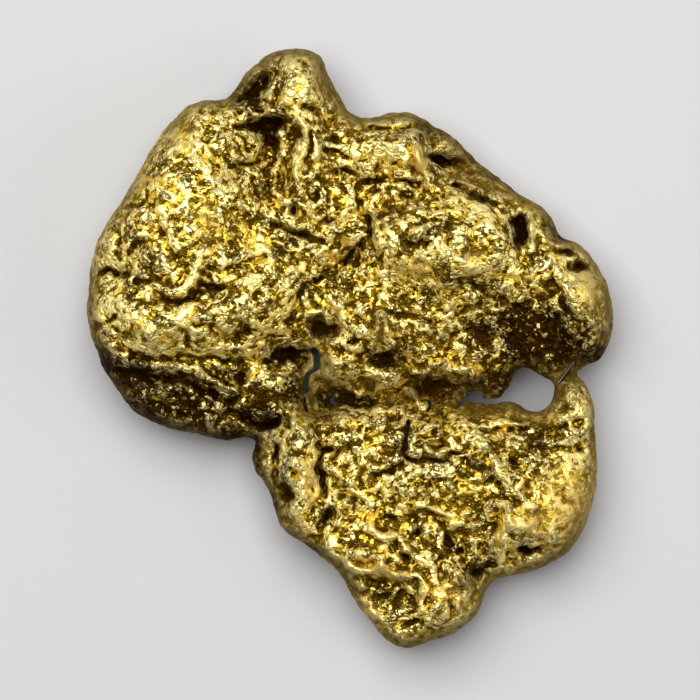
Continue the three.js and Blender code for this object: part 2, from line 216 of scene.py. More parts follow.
stroke(0.30, 0.2, (-4.6, 9.5), (-4.0, 9.2), (-4.1, 8.8), (-4.5, 8.45), (-5.2, 8.35))
stroke(-0.5, 0.13, (-5.3, 8.13), (-4.7, 8.2), (-4.1, 8.35))
stroke(0.25, 0.2, (-5.9, 3.6), (-5.2, 3.95), (-4.6, 4.3), (-3.7, 4.38), (-3.4, 4.05), (-3.55, 3.6))
stroke(-0.35, 0.15, (-5.2, 3.55), (-4.6, 3.9), (-3.9, 4.15))
stroke(0.2, 0.17, (-4.9, 2.75), (-4.4, 3.05), (-3.9, 3.1), (-3.4, 3.3))
dish(0.3, -4.2, 2.4, 0.3, 0.2, 20)
dish(0.4, -6.3, 3.4, 0.35, 0.25, 60)
dish(0.6, -6.0, 2.75, 0.5, 0.14, 0)
stroke(-0.4, 0.15, (-8.7, 2.4), (-8.2, 2.12), (-7.5, 2.05), (-7.0, 2.2), (-6.65, 2.55))
stroke(0.3, 0.16, (-8.6, 2.75), (-8.0, 2.55), (-7.4, 2.6), (-7.0, 3.0), (-6.75, 3.6))
stroke(-0.9, 0.17, (-11.9, 3.1), (-11.2, 3.35), (-10.7, 3.48), (-10.2, 3.4), (-9.95, 3.3))
dish(0.6, -9.2, 3.02, 0.4, 0.16, 5)
stroke(-0.35, 0.15, (-11.4, 1.05), (-10.9, 1.15), (-10.5, 1.35))
stroke(0.22, 0.3, (-10.9, 2.3), (-10.2, 1.9), (-9.4, 1.2), (-8.8, 0.6))
stroke(0.18, 0.25, (-8.6, 1.7), (-7.9, 1.2), (-7.2, 1.6), (-6.5, 1.3))
stroke(-0.3, 0.2, (-8.6, 1.95), (-8.7, 1.5))
stroke(-0.3, 0.16, (-7.6, 0.9), (-7.2, 0.6), (-7.2, 0.1))
stroke(-0.35, 0.2, (-6.9, 1.05), (-6.0, 1.0), (-5.4, 0.5), (-4.6, 0.8))
drawn("left dome")

# %% [markdown]
# ### Under the dome
# Below a long wrinkled edge the dome turns down steeply, and its lower side is rough and stained.

# %% Draw the side under the dome
stroke(0.3, 0.16, (-10.6, 0.1), (-10.4, -0.3), (-9.9, -0.65), (-8.9, -0.85), (-8.0, -0.75))
stroke(0.3, 0.18, (-8.0, -0.75), (-7.0, -0.9), (-6.4, -1.3), (-5.7, -1.75), (-5.2, -1.9))
stroke(-0.3, 0.16, (-10.2, -0.1), (-9.3, -0.35), (-8.2, -0.4), (-6.8, -0.45), (-5.4, -0.5))
stroke(-0.45, 0.25, (-10.2, -1.0), (-9.0, -1.3), (-7.6, -1.4), (-6.6, -1.9), (-5.4, -2.4))
stroke(0.3, 0.2, (-10.1, -2.1), (-9.7, -2.7), (-9.2, -2.75), (-8.8, -3.1), (-8.0, -3.15), (-7.5, -3.35))
dish(0.4, -7.6, -2.85, 0.3, 0.2)
stroke(0.25, 0.2, (-8.0, -1.8), (-7.3, -1.7))
stroke(0.3, 0.22, (-6.3, -3.0), (-6.25, -3.5), (-5.9, -4.0))
dish(0.5, -4.75, -1.25, 0.3, 0.25, 60)
dish(-0.5, -3.7, -1.5, 0.9, 0.5, 10)
stroke(-0.35, 0.15, (-4.7, -0.55), (-4.0, -0.6), (-3.2, -0.75))
stroke(0.2, 0.12, (-4.9, -2.4), (-4.6, -2.75), (-4.1, -2.85), (-3.7, -2.75))
stroke(-0.6, 0.3, (-5.4, -2.9), (-4.2, -3.4), (-3.3, -3.4))
drawn("side under the dome")

# %% [markdown]
# ### The knob and the ridge below it
# The knob at the top is folded over a hollow, with a second hollow under its ledge. A thin ridge
# runs down from it between two brown valleys.

# %% Draw the knob
dish(1.1, -4.0, 11.95, 0.75, 0.27, 22)
dish(0.5, -4.65, 11.5, 0.3, 0.35)
stroke(0.18, 0.14, (-4.8, 12.2), (-4.0, 12.55), (-3.4, 12.85))
stroke(0.25, 0.13, (-3.45, 11.9), (-3.65, 11.3), (-3.6, 10.75))
dish(0.3, -3.25, 11.45, 0.16, 0.16)
stroke(0.25, 0.16, (-4.7, 10.75), (-4.1, 10.5), (-3.6, 10.62), (-3.1, 10.7), (-2.7, 10.95))
dish(1.0, -3.7, 10.0, 0.75, 0.42, -8)
dish(0.6, -3.5, 9.3, 0.35, 0.4)
stroke(0.22, 0.25, (-2.6, 13.0), (-2.7, 12.2), (-2.8, 11.3))
stroke(0.2, 0.2, (-1.5, 12.7), (-1.7, 11.8), (-1.2, 10.8))
stroke(-0.35, 0.18, (-2.0, 10.85), (-1.5, 10.6))
stroke(0.32, 0.15, (-2.4, 10.3), (-1.95, 9.8), (-2.05, 9.3), (-2.1, 8.7), (-2.35, 8.2), (-2.4, 7.6))
stroke(0.32, 0.15, (-2.4, 7.6), (-2.1, 7.0), (-2.35, 6.6), (-1.9, 6.1), (-1.3, 5.85))
stroke(0.2, 0.2, (-1.5, 10.0), (-1.45, 9.4), (-1.35, 8.7))
stroke(-0.35, 0.15, (-1.75, 9.5), (-1.75, 8.6), (-1.95, 7.9))
stroke(-0.5, 0.22, (-2.6, 9.8), (-2.55, 9.1))
stroke(0.25, 0.13, (-3.1, 9.6), (-3.0, 9.1))
stroke(0.25, 0.13, (-3.15, 8.7), (-3.3, 8.2))
dish(0.55, -0.85, 9.45, 0.34, 0.22, 0)
dish(0.25, -3.2, 7.35, 0.35, 0.28)
dish(0.75, -2.48, 6.2, 0.28, 0.24)
dish(0.65, -1.45, 6.78, 0.24, 0.17)
dish(0.6, -1.0, 5.72, 0.33, 0.14)
dish(0.4, -1.6, 8.25, 0.12, 0.18)
dish(0.4, -1.33, 6.15, 0.14, 0.12)
stroke(-0.4, 0.12, (-1.0, 8.85), (-0.5, 8.75), (-0.1, 8.4))
stroke(-0.5, 0.15, (-0.6, 7.85), (-0.2, 8.0), (0.3, 7.9))
stroke(-0.4, 0.14, (-3.4, 5.5), (-2.7, 5.2), (-2.0, 5.0), (-1.3, 4.75))
stroke(0.25, 0.15, (-2.7, 5.55), (-1.9, 5.35), (-1.35, 5.0))
stroke(-0.15, 0.2, (-3.6, 8.6), (-3.7, 7.4), (-3.3, 6.3))
dish(-0.5, -4.3, 7.7, 0.9, 0.5, 60)
drawn("knob")

# %% [markdown]
# ### The upper edge
# A folded rim, then a smooth tongue, a dark slot and a shelf that lies lower than the plateau.

# %% Draw the upper edge
stroke(0.2, 0.13, (0.8, 10.15), (1.7, 10.15), (2.6, 10.28), (3.1, 10.1))
stroke(-0.3, 0.12, (1.0, 9.93), (1.9, 9.9), (2.7, 10.0))
dish(-0.3, 2.2, 9.1, 0.35, 0.3)
dish(-0.25, 1.2, 8.95, 0.4, 0.3)
dish(-0.25, 2.45, 8.4, 0.25, 0.35)
dish(-0.25, 0.75, 7.95, 0.3, 0.25)
stroke(0.35, 0.26, (2.8, 9.4), (3.1, 8.7), (3.2, 8.0), (3.5, 7.5))
stroke(-0.25, 0.15, (2.6, 9.3), (2.75, 8.5), (2.8, 7.9))
stroke(-0.9, 0.24, (3.75, 8.55), (4.4, 8.4), (4.9, 8.35), (5.35, 8.15))
stroke(-0.3, 0.2, (3.55, 9.4), (3.8, 9.0))
dish(-0.3, 4.5, 9.2, 0.4, 0.25, -20)
stroke(-0.3, 0.12, (5.1, 8.9), (5.5, 8.5))
stroke(-0.45, 0.14, (4.7, 7.35), (5.1, 7.0), (5.6, 6.75), (6.2, 6.68), (6.5, 6.4))
stroke(0.2, 0.12, (4.6, 7.5), (5.3, 7.35), (6.0, 6.95), (6.7, 6.9))
stroke(0.25, 0.13, (6.0, 7.98), (6.6, 7.6), (7.1, 7.3), (7.6, 6.9))
dish(0.4, 6.6, 7.35, 0.18, 0.12, -40)
stroke(-0.25, 0.1, (5.4, 7.6), (6.2, 7.45))
stroke(0.2, 0.14, (6.2, 6.7), (6.8, 6.85), (7.5, 6.6))
dish(-0.5, 1.9, 7.5, 1.3, 0.4)
stroke(-0.5, 0.12, (0.6, 7.42), (1.2, 7.52), (1.6, 7.57), (2.2, 7.5), (2.8, 7.45))
dish(0.45, 3.0, 7.3, 0.3, 0.2, 10)
dish(0.95, 7.65, 5.65, 0.38, 0.3, 10)
dish(0.8, 7.7, 5.15, 0.28, 0.45, 0)
stroke(0.22, 0.13, (7.95, 6.0), (8.2, 5.4), (8.15, 4.7))
dish(0.45, 8.8, 5.6, 0.2, 0.17)
drawn("upper edge")

# %% [markdown]
# ### The plateau
# The wide middle of the upper part, split from the dome by a seam that opens in places.

# %% Draw the plateau
stroke(-0.4, 0.15, (0.5, 6.6), (0.45, 6.2), (0.75, 5.8), (0.95, 5.35), (0.9, 5.0), (0.6, 4.8))
stroke(-0.25, 0.14, (0.6, 4.8), (0.25, 4.4), (-0.1, 3.9), (-0.6, 3.6), (-1.2, 3.4), (-1.6, 3.1))
stroke(-0.45, 0.15, (-1.6, 3.1), (-2.0, 2.7), (-2.2, 2.2), (-2.4, 1.7), (-2.7, 1.2))
stroke(0.25, 0.18, (0.8, 6.2), (1.1, 5.6), (1.25, 4.9))
stroke(0.2, 0.16, (0.85, 6.3), (1.0, 6.7), (1.5, 6.85))
dish(-0.35, -0.3, 3.3, 0.7, 0.4, 30)
dish(0.3, 1.5, 6.3, 0.3, 0.25)
dish(0.3, 2.5, 6.85, 0.35, 0.25)
stroke(0.2, 0.16, (0.1, 7.2), (0.1, 6.5), (-0.3, 5.9))
stroke(0.22, 0.15, (2.9, 5.2), (3.4, 5.5), (4.2, 5.65))
stroke(-0.3, 0.13, (2.9, 5.55), (3.6, 5.72), (4.3, 5.5))
stroke(-0.35, 0.14, (2.6, 4.65), (3.1, 4.72), (3.6, 4.72))
stroke(0.22, 0.3, (4.7, 4.7), (4.8, 4.0), (5.3, 3.5), (6.0, 3.5), (6.6, 4.0), (6.8, 4.8), (6.2, 5.6))
dish(0.3, 5.5, 4.65, 0.55, 0.4)
dish(0.4, 4.4, 4.8, 0.22, 0.38)
dish(-0.35, 7.7, 2.95, 0.16, 0.25)
dish(-0.35, 8.2, 3.3, 0.2, 0.25, 30)
dish(-0.25, 5.5, 2.25, 0.5, 0.18)
dish(-0.22, 4.5, 1.85, 0.2, 0.3)
stroke(-0.3, 0.18, (5.0, 3.05), (5.8, 2.8), (6.6, 2.2), (7.2, 2.0), (7.8, 1.7))
stroke(-0.25, 0.2, (7.8, 2.1), (8.6, 2.3), (9.2, 2.4))
stroke(0.2, 0.14, (6.5, 1.6), (7.1, 1.7), (7.5, 1.5))
dish(-0.3, 8.85, 0.88, 0.2, 0.12)
stroke(0.2, 0.12, (9.8, 0.8), (10.3, 0.35))
stroke(0.2, 0.15, (7.1, -0.3), (7.5, -0.1), (7.7, -0.3))
dish(-0.25, 5.8, -0.35, 0.35, 0.2, 30)
stroke(-0.3, 0.18, (7.3, 1.2), (7.4, 0.2), (7.8, -0.4))
stroke(-0.3, 0.2, (4.7, 0.7), (5.6, 0.9), (6.4, 0.6))
drawn("plateau")

# %% [markdown]
# ### The right lobe
# A smooth face with two pits at its head, like thumb prints, and a ridge down its inner side.

# %% Draw the right lobe
dish(0.6, 9.7, 4.38, 0.38, 0.17, 5)
dish(0.95, 10.28, 3.66, 0.46, 0.3, 8)
stroke(0.25, 0.13, (9.45, 4.65), (10.0, 4.68), (10.4, 4.4), (10.75, 4.05), (10.85, 3.7))
stroke(0.2, 0.2, (8.9, 3.9), (9.4, 3.4), (9.5, 2.8), (9.8, 2.2), (10.3, 1.6), (10.9, 1.1))
stroke(-0.3, 0.18, (9.0, 3.0), (9.3, 2.5), (9.6, 1.8), (10.2, 1.2))
stroke(0.22, 0.14, (9.0, 1.95), (9.4, 1.7), (9.85, 1.45))
stroke(0.2, 0.13, (11.65, 0.95), (11.5, 0.4), (11.25, 0.15))
drawn("right lobe")

# %% [markdown]
# ### The waist
# Between the two lobes the metal dips into caverns, with a brown flat-floored pit above them.

# %% Draw the waist
dish(0.75, -1.25, 0.85, 0.72, 0.4, -18)
stroke(0.25, 0.1, (-1.97, 0.9), (-1.8, 0.6), (-1.4, 0.28))
stroke(-0.9, 0.4, (-3.2, 0.0), (-2.6, -0.3), (-2.1, -0.5))
stroke(0.25, 0.13, (-1.0, 0.25), (-0.45, 0.35), (0.0, 0.05), (0.5, -0.05))
dish(0.5, 0.12, 0.3, 0.2, 0.14)
dish(-0.45, -0.7, -0.9, 0.35, 0.65)
dish(-0.4, 0.1, -0.8, 0.4, 0.65)
stroke(0.3, 0.15, (1.38, 1.6), (1.15, 0.9), (0.95, 0.2))
stroke(0.3, 0.17, (1.5, 1.5), (1.7, 0.8), (1.9, 0.1))
stroke(-0.4, 0.12, (1.5, 1.62), (2.0, 1.5), (2.7, 1.55), (3.6, 1.25))
dish(0.6, 1.5, -0.45, 0.75, 0.4)
stroke(0.18, 0.1, (0.9, -0.3), (1.4, -0.55), (2.2, -0.35))
stroke(0.28, 0.14, (2.8, -1.0), (3.3, -1.15), (3.6, -0.8), (4.1, -0.7), (4.4, -0.95), (5.2, -0.95))
dish(-0.5, 1.75, -1.45, 0.75, 0.42, -15)
stroke(0.75, 0.22, (2.75, -2.0), (3.3, -2.6))
dish(0.9, -0.7, -2.25, 0.95, 0.42)
dish(0.6, 0.5, -2.4, 0.5, 0.35)
dish(0.9, 4.1, -1.85, 0.95, 0.42, -12)
stroke(0.2, 0.12, (4.1, -2.6), (4.6, -2.3), (5.0, -2.05))
stroke(-0.3, 0.2, (4.3, 0.2), (4.4, -0.4))
drawn("waist")

# %% [markdown]
# ### The lower lobe
# Thinner than the upper one. Lumps line its upper edge, a finger stands at its left, and long
# cracks run beside the finger and across the middle.

# %% Draw the lower lobe
dish(-0.45, -0.35, -3.15, 0.3, 0.25)
dish(-0.45, 0.6, -3.3, 0.4, 0.2, -10)
dish(-0.45, 1.3, -3.1, 0.35, 0.5)
stroke(0.4, 0.15, (1.9, -2.8), (2.3, -2.7), (2.5, -3.0), (2.3, -3.4), (2.0, -3.4))
stroke(-0.6, 0.13, (2.6, -3.2), (2.5, -4.0), (2.45, -4.5), (2.55, -4.9))
stroke(-0.45, 0.14, (2.55, -4.9), (3.5, -4.95), (4.5, -4.85), (5.0, -4.65))
stroke(0.35, 0.14, (3.35, -4.35), (3.6, -4.75), (4.0, -4.8), (4.35, -4.55))
stroke(0.35, 0.14, (3.4, -3.5), (3.9, -3.45), (4.05, -3.8), (3.7, -4.0))
dish(0.4, 4.0, -4.25, 0.3, 0.2)
stroke(0.35, 0.2, (-2.5, -2.85), (-2.45, -3.6), (-2.1, -3.95))
stroke(0.25, 0.15, (-3.0, -5.9), (-2.85, -5.3), (-2.3, -5.1), (-2.0, -5.5), (-2.2, -6.1))
dish(0.35, -2.6, -5.5, 0.15, 0.3)
dish(0.8, -2.8, -6.5, 0.4, 0.4)
stroke(0.25, 0.1, (-2.05, -6.1), (-2.2, -6.8))
stroke(-0.6, 0.15, (-3.35, -4.3), (-3.3, -5.2), (-3.5, -6.1), (-3.25, -7.0))
dish(-0.3, -2.3, -7.3, 0.4, 0.5)
stroke(-0.75, 0.16, (-1.5, -4.35), (-1.2, -4.7), (-1.4, -5.3), (-1.25, -5.9), (-1.2, -6.45))
stroke(-0.4, 0.13, (-1.2, -4.55), (-0.6, -4.6), (-0.1, -4.45))
stroke(-0.75, 0.18, (-1.0, -7.4), (-1.25, -7.7), (-1.35, -8.2), (-1.55, -8.5))
stroke(0.28, 0.2, (-1.0, -5.3), (-0.6, -5.7), (0.0, -6.1), (0.6, -6.5), (0.9, -6.95))
stroke(-0.4, 0.15, (1.0, -5.65), (1.7, -5.5), (2.3, -5.15))
stroke(0.2, 0.15, (0.9, -5.35), (1.6, -5.2), (2.2, -4.95))
dish(0.5, 1.85, -7.55, 0.3, 0.14, 5)
dish(0.5, 3.15, -8.22, 0.24, 0.16)
stroke(0.25, 0.16, (2.7, -8.1), (3.2, -7.95), (3.5, -8.2))
stroke(0.3, 0.18, (0.4, -7.8), (1.0, -8.05), (1.5, -8.5), (2.2, -8.45), (2.5, -8.9))
dish(1.0, 2.42, -9.25, 0.5, 0.2, -28)
stroke(0.28, 0.15, (3.0, -7.0), (3.7, -7.2), (4.3, -7.42), (5.0, -7.4), (5.9, -7.3))
stroke(0.28, 0.2, (4.6, -7.85), (5.7, -7.9))
dish(0.6, 4.4, -8.8, 0.35, 0.4)
dish(0.35, 5.0, -9.0, 0.3, 0.25)
drawn("lower lobe")

# %% [markdown]
# ### The lower lobe's right half
# A ridge runs beside the bulge and fine grooves cross the lobe. Shallow lumps fill low places here
# and further up, so that they tip towards the light.

# %% Draw the lower lobe's right half
dish(-0.55, 7.0, -8.6, 1.5, 1.1, 90)
dish(-0.3, 8.4, -8.5, 0.8, 0.5)
dish(-0.35, -0.5, 2.4, 0.8, 0.5)
dish(-0.3, -8.7, 0.0, 0.9, 0.5)
dish(-0.15, 3.8, -12.0, 0.8, 0.6)
dish(-0.25, -5.7, 4.1, 0.7, 0.5)
dish(-0.3, 2.0, -4.0, 0.6, 0.4)
stroke(0.32, 0.24, (6.3, -7.0), (6.9, -7.1), (7.1, -7.8), (6.9, -8.6), (6.7, -9.3))
dish(0.12, 6.4, -7.9, 0.18, 0.45)
dish(-0.6, 7.4, -7.7, 1.0, 0.9, 60)
stroke(0.35, 0.25, (5.1, -3.3), (5.6, -4.0), (6.0, -4.5), (6.5, -5.0), (6.8, -5.6), (7.1, -6.1))
dish(0.5, 5.8, -5.6, 0.22, 0.15)
stroke(-0.5, 0.12, (6.0, -6.0), (6.3, -5.85), (6.6, -6.0))
stroke(0.2, 0.12, (5.9, -3.55), (6.6, -3.3), (7.8, -3.4))
stroke(-0.3, 0.12, (5.8, -3.75), (6.8, -3.55), (7.9, -3.6))
stroke(0.18, 0.12, (7.0, -4.2), (8.0, -4.3), (8.7, -4.1))
stroke(-0.3, 0.2, (8.0, -4.3), (9.2, -4.5), (10.3, -4.45))
stroke(-0.3, 0.2, (7.2, -5.0), (7.8, -5.6), (8.0, -6.4))
drawn("right half")

# %% [markdown]
# ### The right finger and bulge
# The bulge was on the outside as the nugget rolled, so stones rubbed it smooth; a small crater is
# left in it. The finger above it is rough and pitted on its inner side.

# %% Draw the finger and the bulge
dish(0.6, 9.6, -2.72, 0.26, 0.24)
dish(0.5, 10.1, -3.25, 0.26, 0.2)
dish(0.4, 9.6, -3.55, 0.25, 0.12)
dish(-0.3, 10.05, -2.05, 0.35, 0.45)
stroke(0.25, 0.2, (10.5, -2.6), (10.7, -3.4), (10.6, -4.3))
stroke(-0.28, 0.1, (9.2, -6.45), (9.5, -6.3), (9.6, -6.85), (10.0, -6.9))
stroke(0.14, 0.1, (9.4, -6.2), (9.95, -6.3), (10.1, -6.65))
dish(0.25, 9.4, -8.1, 0.15, 0.12)
stroke(-0.75, 0.2, (7.2, -9.1), (7.9, -9.1), (8.6, -8.85))
stroke(0.3, 0.16, (7.8, -9.75), (8.3, -9.6), (8.7, -9.35))
stroke(-0.6, 0.2, (5.75, -10.0), (6.2, -9.7), (6.5, -9.75))
drawn("finger and bulge")

# %% [markdown]
# ### The tip
# A long ridge loops over the tip's left side, with a ragged hollow below it, and its right side
# was rubbed smooth.

# %% Draw the tip
stroke(0.4, 0.2, (-1.5, -9.0), (-0.9, -9.05), (-0.3, -9.5), (0.1, -9.85), (0.9, -10.0), (1.5, -9.9))
stroke(0.3, 0.2, (1.5, -9.8), (1.3, -9.35), (0.5, -9.2), (-0.1, -9.1))
dish(0.3, 0.5, -9.6, 0.45, 0.15)
stroke(0.4, 0.2, (1.8, -10.0), (2.6, -10.2), (3.15, -10.15), (3.35, -10.7), (3.2, -11.7))
dish(0.3, 1.3, -10.5, 0.95, 0.18, -5)
dish(0.25, 1.2, -11.15, 0.6, 0.2, 10)
dish(-0.5, 2.4, -10.7, 0.9, 0.4, -20)
dish(0.3, 2.3, -10.9, 0.3, 0.16, 20)
stroke(0.25, 0.12, (0.55, -10.75), (0.28, -11.2))
dish(-0.35, 1.35, -10.9, 0.25, 0.1, 10)
stroke(0.3, 0.11, (1.6, -11.4), (1.95, -11.0))
stroke(0.3, 0.22, (0.4, -11.5), (1.0, -11.9), (1.6, -12.3), (2.0, -12.75), (2.7, -13.2))
stroke(-0.35, 0.15, (2.1, -12.4), (2.6, -12.3), (3.0, -12.1))
stroke(0.28, 0.17, (3.9, -10.8), (3.8, -11.5), (3.5, -12.2))
stroke(0.28, 0.15, (4.35, -11.1), (4.2, -11.8), (3.9, -12.3))
stroke(0.28, 0.2, (4.7, -11.4), (5.0, -12.0), (4.75, -12.5))
stroke(0.3, 0.28, (4.9, -9.9), (5.2, -10.8))
dish(0.5, 5.6, -11.1, 0.25, 0.25)
stroke(0.3, 0.13, (6.0, -11.2), (5.5, -11.6), (5.2, -12.0))
stroke(-0.4, 0.15, (4.5, -10.9), (4.6, -11.9))
stroke(-0.3, 0.2, (4.0, -9.4), (4.1, -10.3))
drawn("tip")

# %% [markdown]
# ### Slits
# In a few places the folds never met, and one can see right through: along the seam, beside both
# fingers and in the caverns. Smoothing closed the narrow ones, so they are cut again, all the way
# down.

# %% Draw the slits
openings = np.full(X.shape, -9.0)


def slit(half_width, *points):
    """An opening right through the nugget, along a line."""
    openings[...] = np.maximum(openings, half_width - distance_to_line(points, X, Y))


slit(0.15, (-1.62, -0.1), (-1.48, -0.35), (-1.48, -0.85))
slit(0.09, (-1.6, -0.98), (-1.9, -1.15), (-1.98, -1.55), (-2.0, -1.95))
slit(0.05, (-2.05, -2.2), (-2.03, -2.6), (-1.92, -2.85))
slit(0.11, (-0.75, -2.15), (-0.85, -2.38), (-0.68, -2.5))
slit(0.06, (3.55, -2.38), (3.6, -2.62), (3.45, -2.85))
slit(0.06, (4.85, -2.62), (5.12, -2.32))
slit(0.17, (5.4, -2.1), (5.85, -2.08))
slit(0.12, (5.25, -2.28), (5.9, -2.36), (6.6, -2.38), (7.2, -2.2))
slit(0.06, (9.36, -1.55), (9.55, -1.35), (9.72, -1.08), (9.95, -0.8), (10.1, -0.62))
slit(0.06, (0.10, 4.37), (-0.1, 4.05), (-0.25, 3.72))
slit(0.06, (-1.65, 3.15), (-1.55, 3.05))
print("slits drawn")

# %% [markdown]
# ### Maps of the finish and of painted light
# Three more maps go with the relief. Each is a list of soft-edged ovals: painting vertices by hand
# would do as well, but ovals in a list can be moved and run again. Some of the weaker ones stand
# for no one mark: they are painted light and shade, and only set how light a place is.

# %% Start the maps
stain_shade_map, worn_map, painted_light_map = (np.zeros(X.shape) for _ in range(3))


def patch(plan_map, strength, x, y, long, wide, turn=0.0):
    """A soft-edged oval; where two meet, the stronger one counts."""
    a = math.radians(turn)
    along = (BENT_X - x) * math.cos(a) + (BENT_Y - y) * math.sin(a)
    across = (BENT_Y - y) * math.cos(a) - (BENT_X - x) * math.sin(a)
    inside = strength * np.exp(-np.hypot(along / long, across / wide) ** 3)
    plan_map[...] = np.maximum(plan_map, inside)


print("maps:", stain_shade_map.shape)

# %% [markdown]
# ### Where it is stained and shaded
# Iron stain lies in the hollows and on the sides that face away from the wear. The same map also
# holds painted shade: many of its ovals darken places only so that they read darker.

# %% Draw where it is stained and shaded
# Each oval darkens its place: iron stain in some, painted shade in others.
# Strength, x, y, half length, half width and turn of each oval, in millimetres and degrees.
STAIN_AND_SHADE = (
    (1.1, -7.6, -2.6, 3.7, 1.35, -12), (1.1, -4.0, -3.0, 1.4, 0.9),
    (1.0, -10.9, -0.9, 0.6, 1.3, 30), (1.0, -4.3, -5.0, 0.5, 1.4), (1.0, -3.5, -7.2, 0.4, 1.2),
    (1.1, -5.4, -3.8, 0.9, 0.5), (1.15, 8.6, 0.4, 3.0, 1.7, -8), (1.0, 6.2, 0.6, 1.6, 0.8),
    (1.0, 10.9, -0.2, 1.0, 0.7), (1.0, 6.3, -1.4, 1.6, 0.8), (0.7, -4.9, -1.9, 1.3, 0.7),
    (0.5, -3.2, -2.1, 0.8, 0.7), (1.1, -4.5, 11.2, 0.8, 0.9, 20), (1.0, -0.6, -2.25, 1.5, 0.5),
    (1.0, 4.0, -1.95, 1.4, 0.6, -12), (1.0, -2.6, -0.3, 0.9, 0.5),
    (0.7, -1.3, 0.9, 0.75, 0.42, -18), (0.8, 1.4, -0.4, 0.9, 0.45),
    (1.0, -4.1, 11.75, 0.8, 0.42, 22), (0.9, -3.7, 9.9, 0.9, 0.45), (0.45, -2.7, 5.3, 0.8, 1.6),
    (0.35, 2.2, 5.9, 1.0, 0.8), (0.4, -5.7, 2.3, 0.7, 0.4), (0.35, -9.3, 2.6, 0.8, 0.5),
    (0.3, -8.8, 4.0, 0.6, 0.6), (0.5, 3.0, -4.7, 2.2, 1.6, -20), (0.35, -0.6, -3.8, 0.9, 0.6),
    (0.6, 8.4, -4.9, 1.3, 0.9), (0.8, 4.9, -10.1, 0.8, 0.8), (0.5, 0.6, 1.5, 1.4, 1.0),
    (0.6, 3.4, 5.1, 0.8, 0.6), (0.55, -2.7, 6.5, 0.7, 0.8), (0.45, -9.4, 2.1, 0.8, 0.5),
    (0.6, 4.0, -8.8, 0.6, 1.1), (0.8, 4.6, -4.9, 0.8, 0.6), (0.6, 9.3, 5.1, 0.7, 0.7),
    (0.5, -3.2, -6.0, 0.5, 1.0), (0.5, 4.5, 3.0, 0.8, 0.5), (0.4, -5.4, 7.5, 0.8, 0.6),
    (0.45, -1.5, 9.0, 0.6, 0.5), (0.4, 2.9, 7.4, 0.8, 0.4), (0.5, 3.2, 0.9, 0.9, 0.5),
    (0.5, 4.9, -0.8, 0.9, 0.4), (0.45, 3.0, -3.0, 0.7, 0.4), (0.6, -5.0, -0.8, 0.8, 0.4),
    (0.6, 4.4, -10.0, 0.6, 0.5), (0.5, 0.0, -4.9, 0.6, 0.4), (0.5, -0.5, 7.6, 0.5, 0.5),
    (0.4, -2.6, 9.2, 0.6, 0.6), (0.5, 0.1, -4.0, 0.8, 0.8), (0.4, 0.1, 0.6, 0.6, 0.6),
    (0.6, -9.3, 2.4, 0.7, 0.5), (0.5, 0.2, -7.0, 0.5, 0.5), (0.5, -1.6, -3.7, 0.6, 0.5),
    (0.6, -3.2, -6.3, 0.6, 1.2), (0.6, -1.6, -9.0, 0.7, 0.4), (1.0, -2.6, -1.9, 0.6, 1.0),
    (0.7, 2.6, 9.5, 1.1, 0.4), (0.9, -2.3, -1.3, 0.4, 0.8), (0.5, -2.0, 4.2, 0.7, 0.5),
    (0.8, -0.7, 5.4, 0.6, 0.6), (0.35, -1.0, 8.6, 0.6, 0.5), (0.4, 3.3, -8.2, 0.7, 1.3),
    (0.55, 2.8, -6.0, 1.2, 0.7), (0.6, 3.6, 9.8, 1.1, 0.5, -20), (0.6, 5.9, 8.3, 1.7, 0.5, -35),
    (0.6, 9.0, 5.5, 0.7, 0.6), (1.3, -9.6, -1.2, 1.4, 0.9), (1.1, -5.5, -1.4, 1.2, 0.6),
    (0.5, 4.9, -5.1, 0.9, 0.6), (0.3, -0.4, -4.8, 0.6, 0.5), (0.3, 9.6, -4.9, 0.8, 0.6),
    (0.35, -2.2, 12.1, 0.9, 1.0), (0.4, 2.3, -12.1, 1.0, 0.6, -30), (0.4, 8.8, 2.1, 1.0, 0.5),
    (0.4, 8.4, 4.2, 0.5, 0.5), (0.8, 4.5, 8.38, 1.0, 0.35, -10), (0.5, 5.4, 7.3, 1.6, 0.6, -20),
    (0.9, 7.6, 5.4, 0.5, 0.8), (0.8, 9.7, 4.4, 0.4, 0.2), (0.9, 10.3, 3.66, 0.5, 0.32),
    (0.55, 8.8, -3.8, 1.9, 0.7), (0.45, 6.5, -2.75, 1.5, 0.3), (0.8, -1.1, -3.0, 0.7, 0.4),
    (0.7, -2.8, -6.5, 0.5, 0.5), (0.8, 4.6, -8.9, 0.65, 0.6), (0.8, 7.9, -9.05, 0.9, 0.25, 10),
    (0.3, 1.9, -11.0, 0.8, 0.4), (0.7, 6.0, -9.9, 0.5, 0.3),
)
for oval in STAIN_AND_SHADE:
    patch(stain_shade_map, *oval)
print("stained_and_shaded", round(stain_shade_map.mean(), 3))

# %% [markdown]
# ### Where it is worn
# The crumpled grain is kept off what the gravel rubbed: the bulge, the tip and the face of the
# right lobe.

# %% Draw where it is worn
WORN = (
    (0.8, 9.7, -6.9, 1.5, 2.1), (0.75, 8.3, -7.9, 1.1, 0.9), (0.6, 4.7, -11.0, 1.1, 1.1),
    (0.5, 3.0, 3.5, 1.3, 0.6), (0.5, 5.6, 3.9, 0.8, 0.8), (0.5, -6.4, 5.6, 0.6, 1.4),
    (0.6, 1.6, -10.0, 1.6, 0.35, -15), (0.5, -8.3, 0.5, 1.4, 0.5),
    (0.5, -7.6, 9.6, 0.8, 1.2, -40), (0.75, 10.6, 2.6, 0.8, 1.6, 12), (0.9, 3.2, 8.5, 0.35, 0.9),
    (0.75, 5.6, 7.4, 1.5, 0.55, -20), (0.6, -1.3, 12.0, 0.5, 1.3), (0.9, 6.5, -2.8, 1.5, 0.3),
    (0.9, -1.1, -3.0, 0.7, 0.4), (0.9, -1.3, 0.9, 0.7, 0.4, -18), (0.7, 1.4, 0.9, 0.5, 0.7),
)
for oval in WORN:
    patch(worn_map, *oval)
print("worn", round(worn_map.mean(), 3))
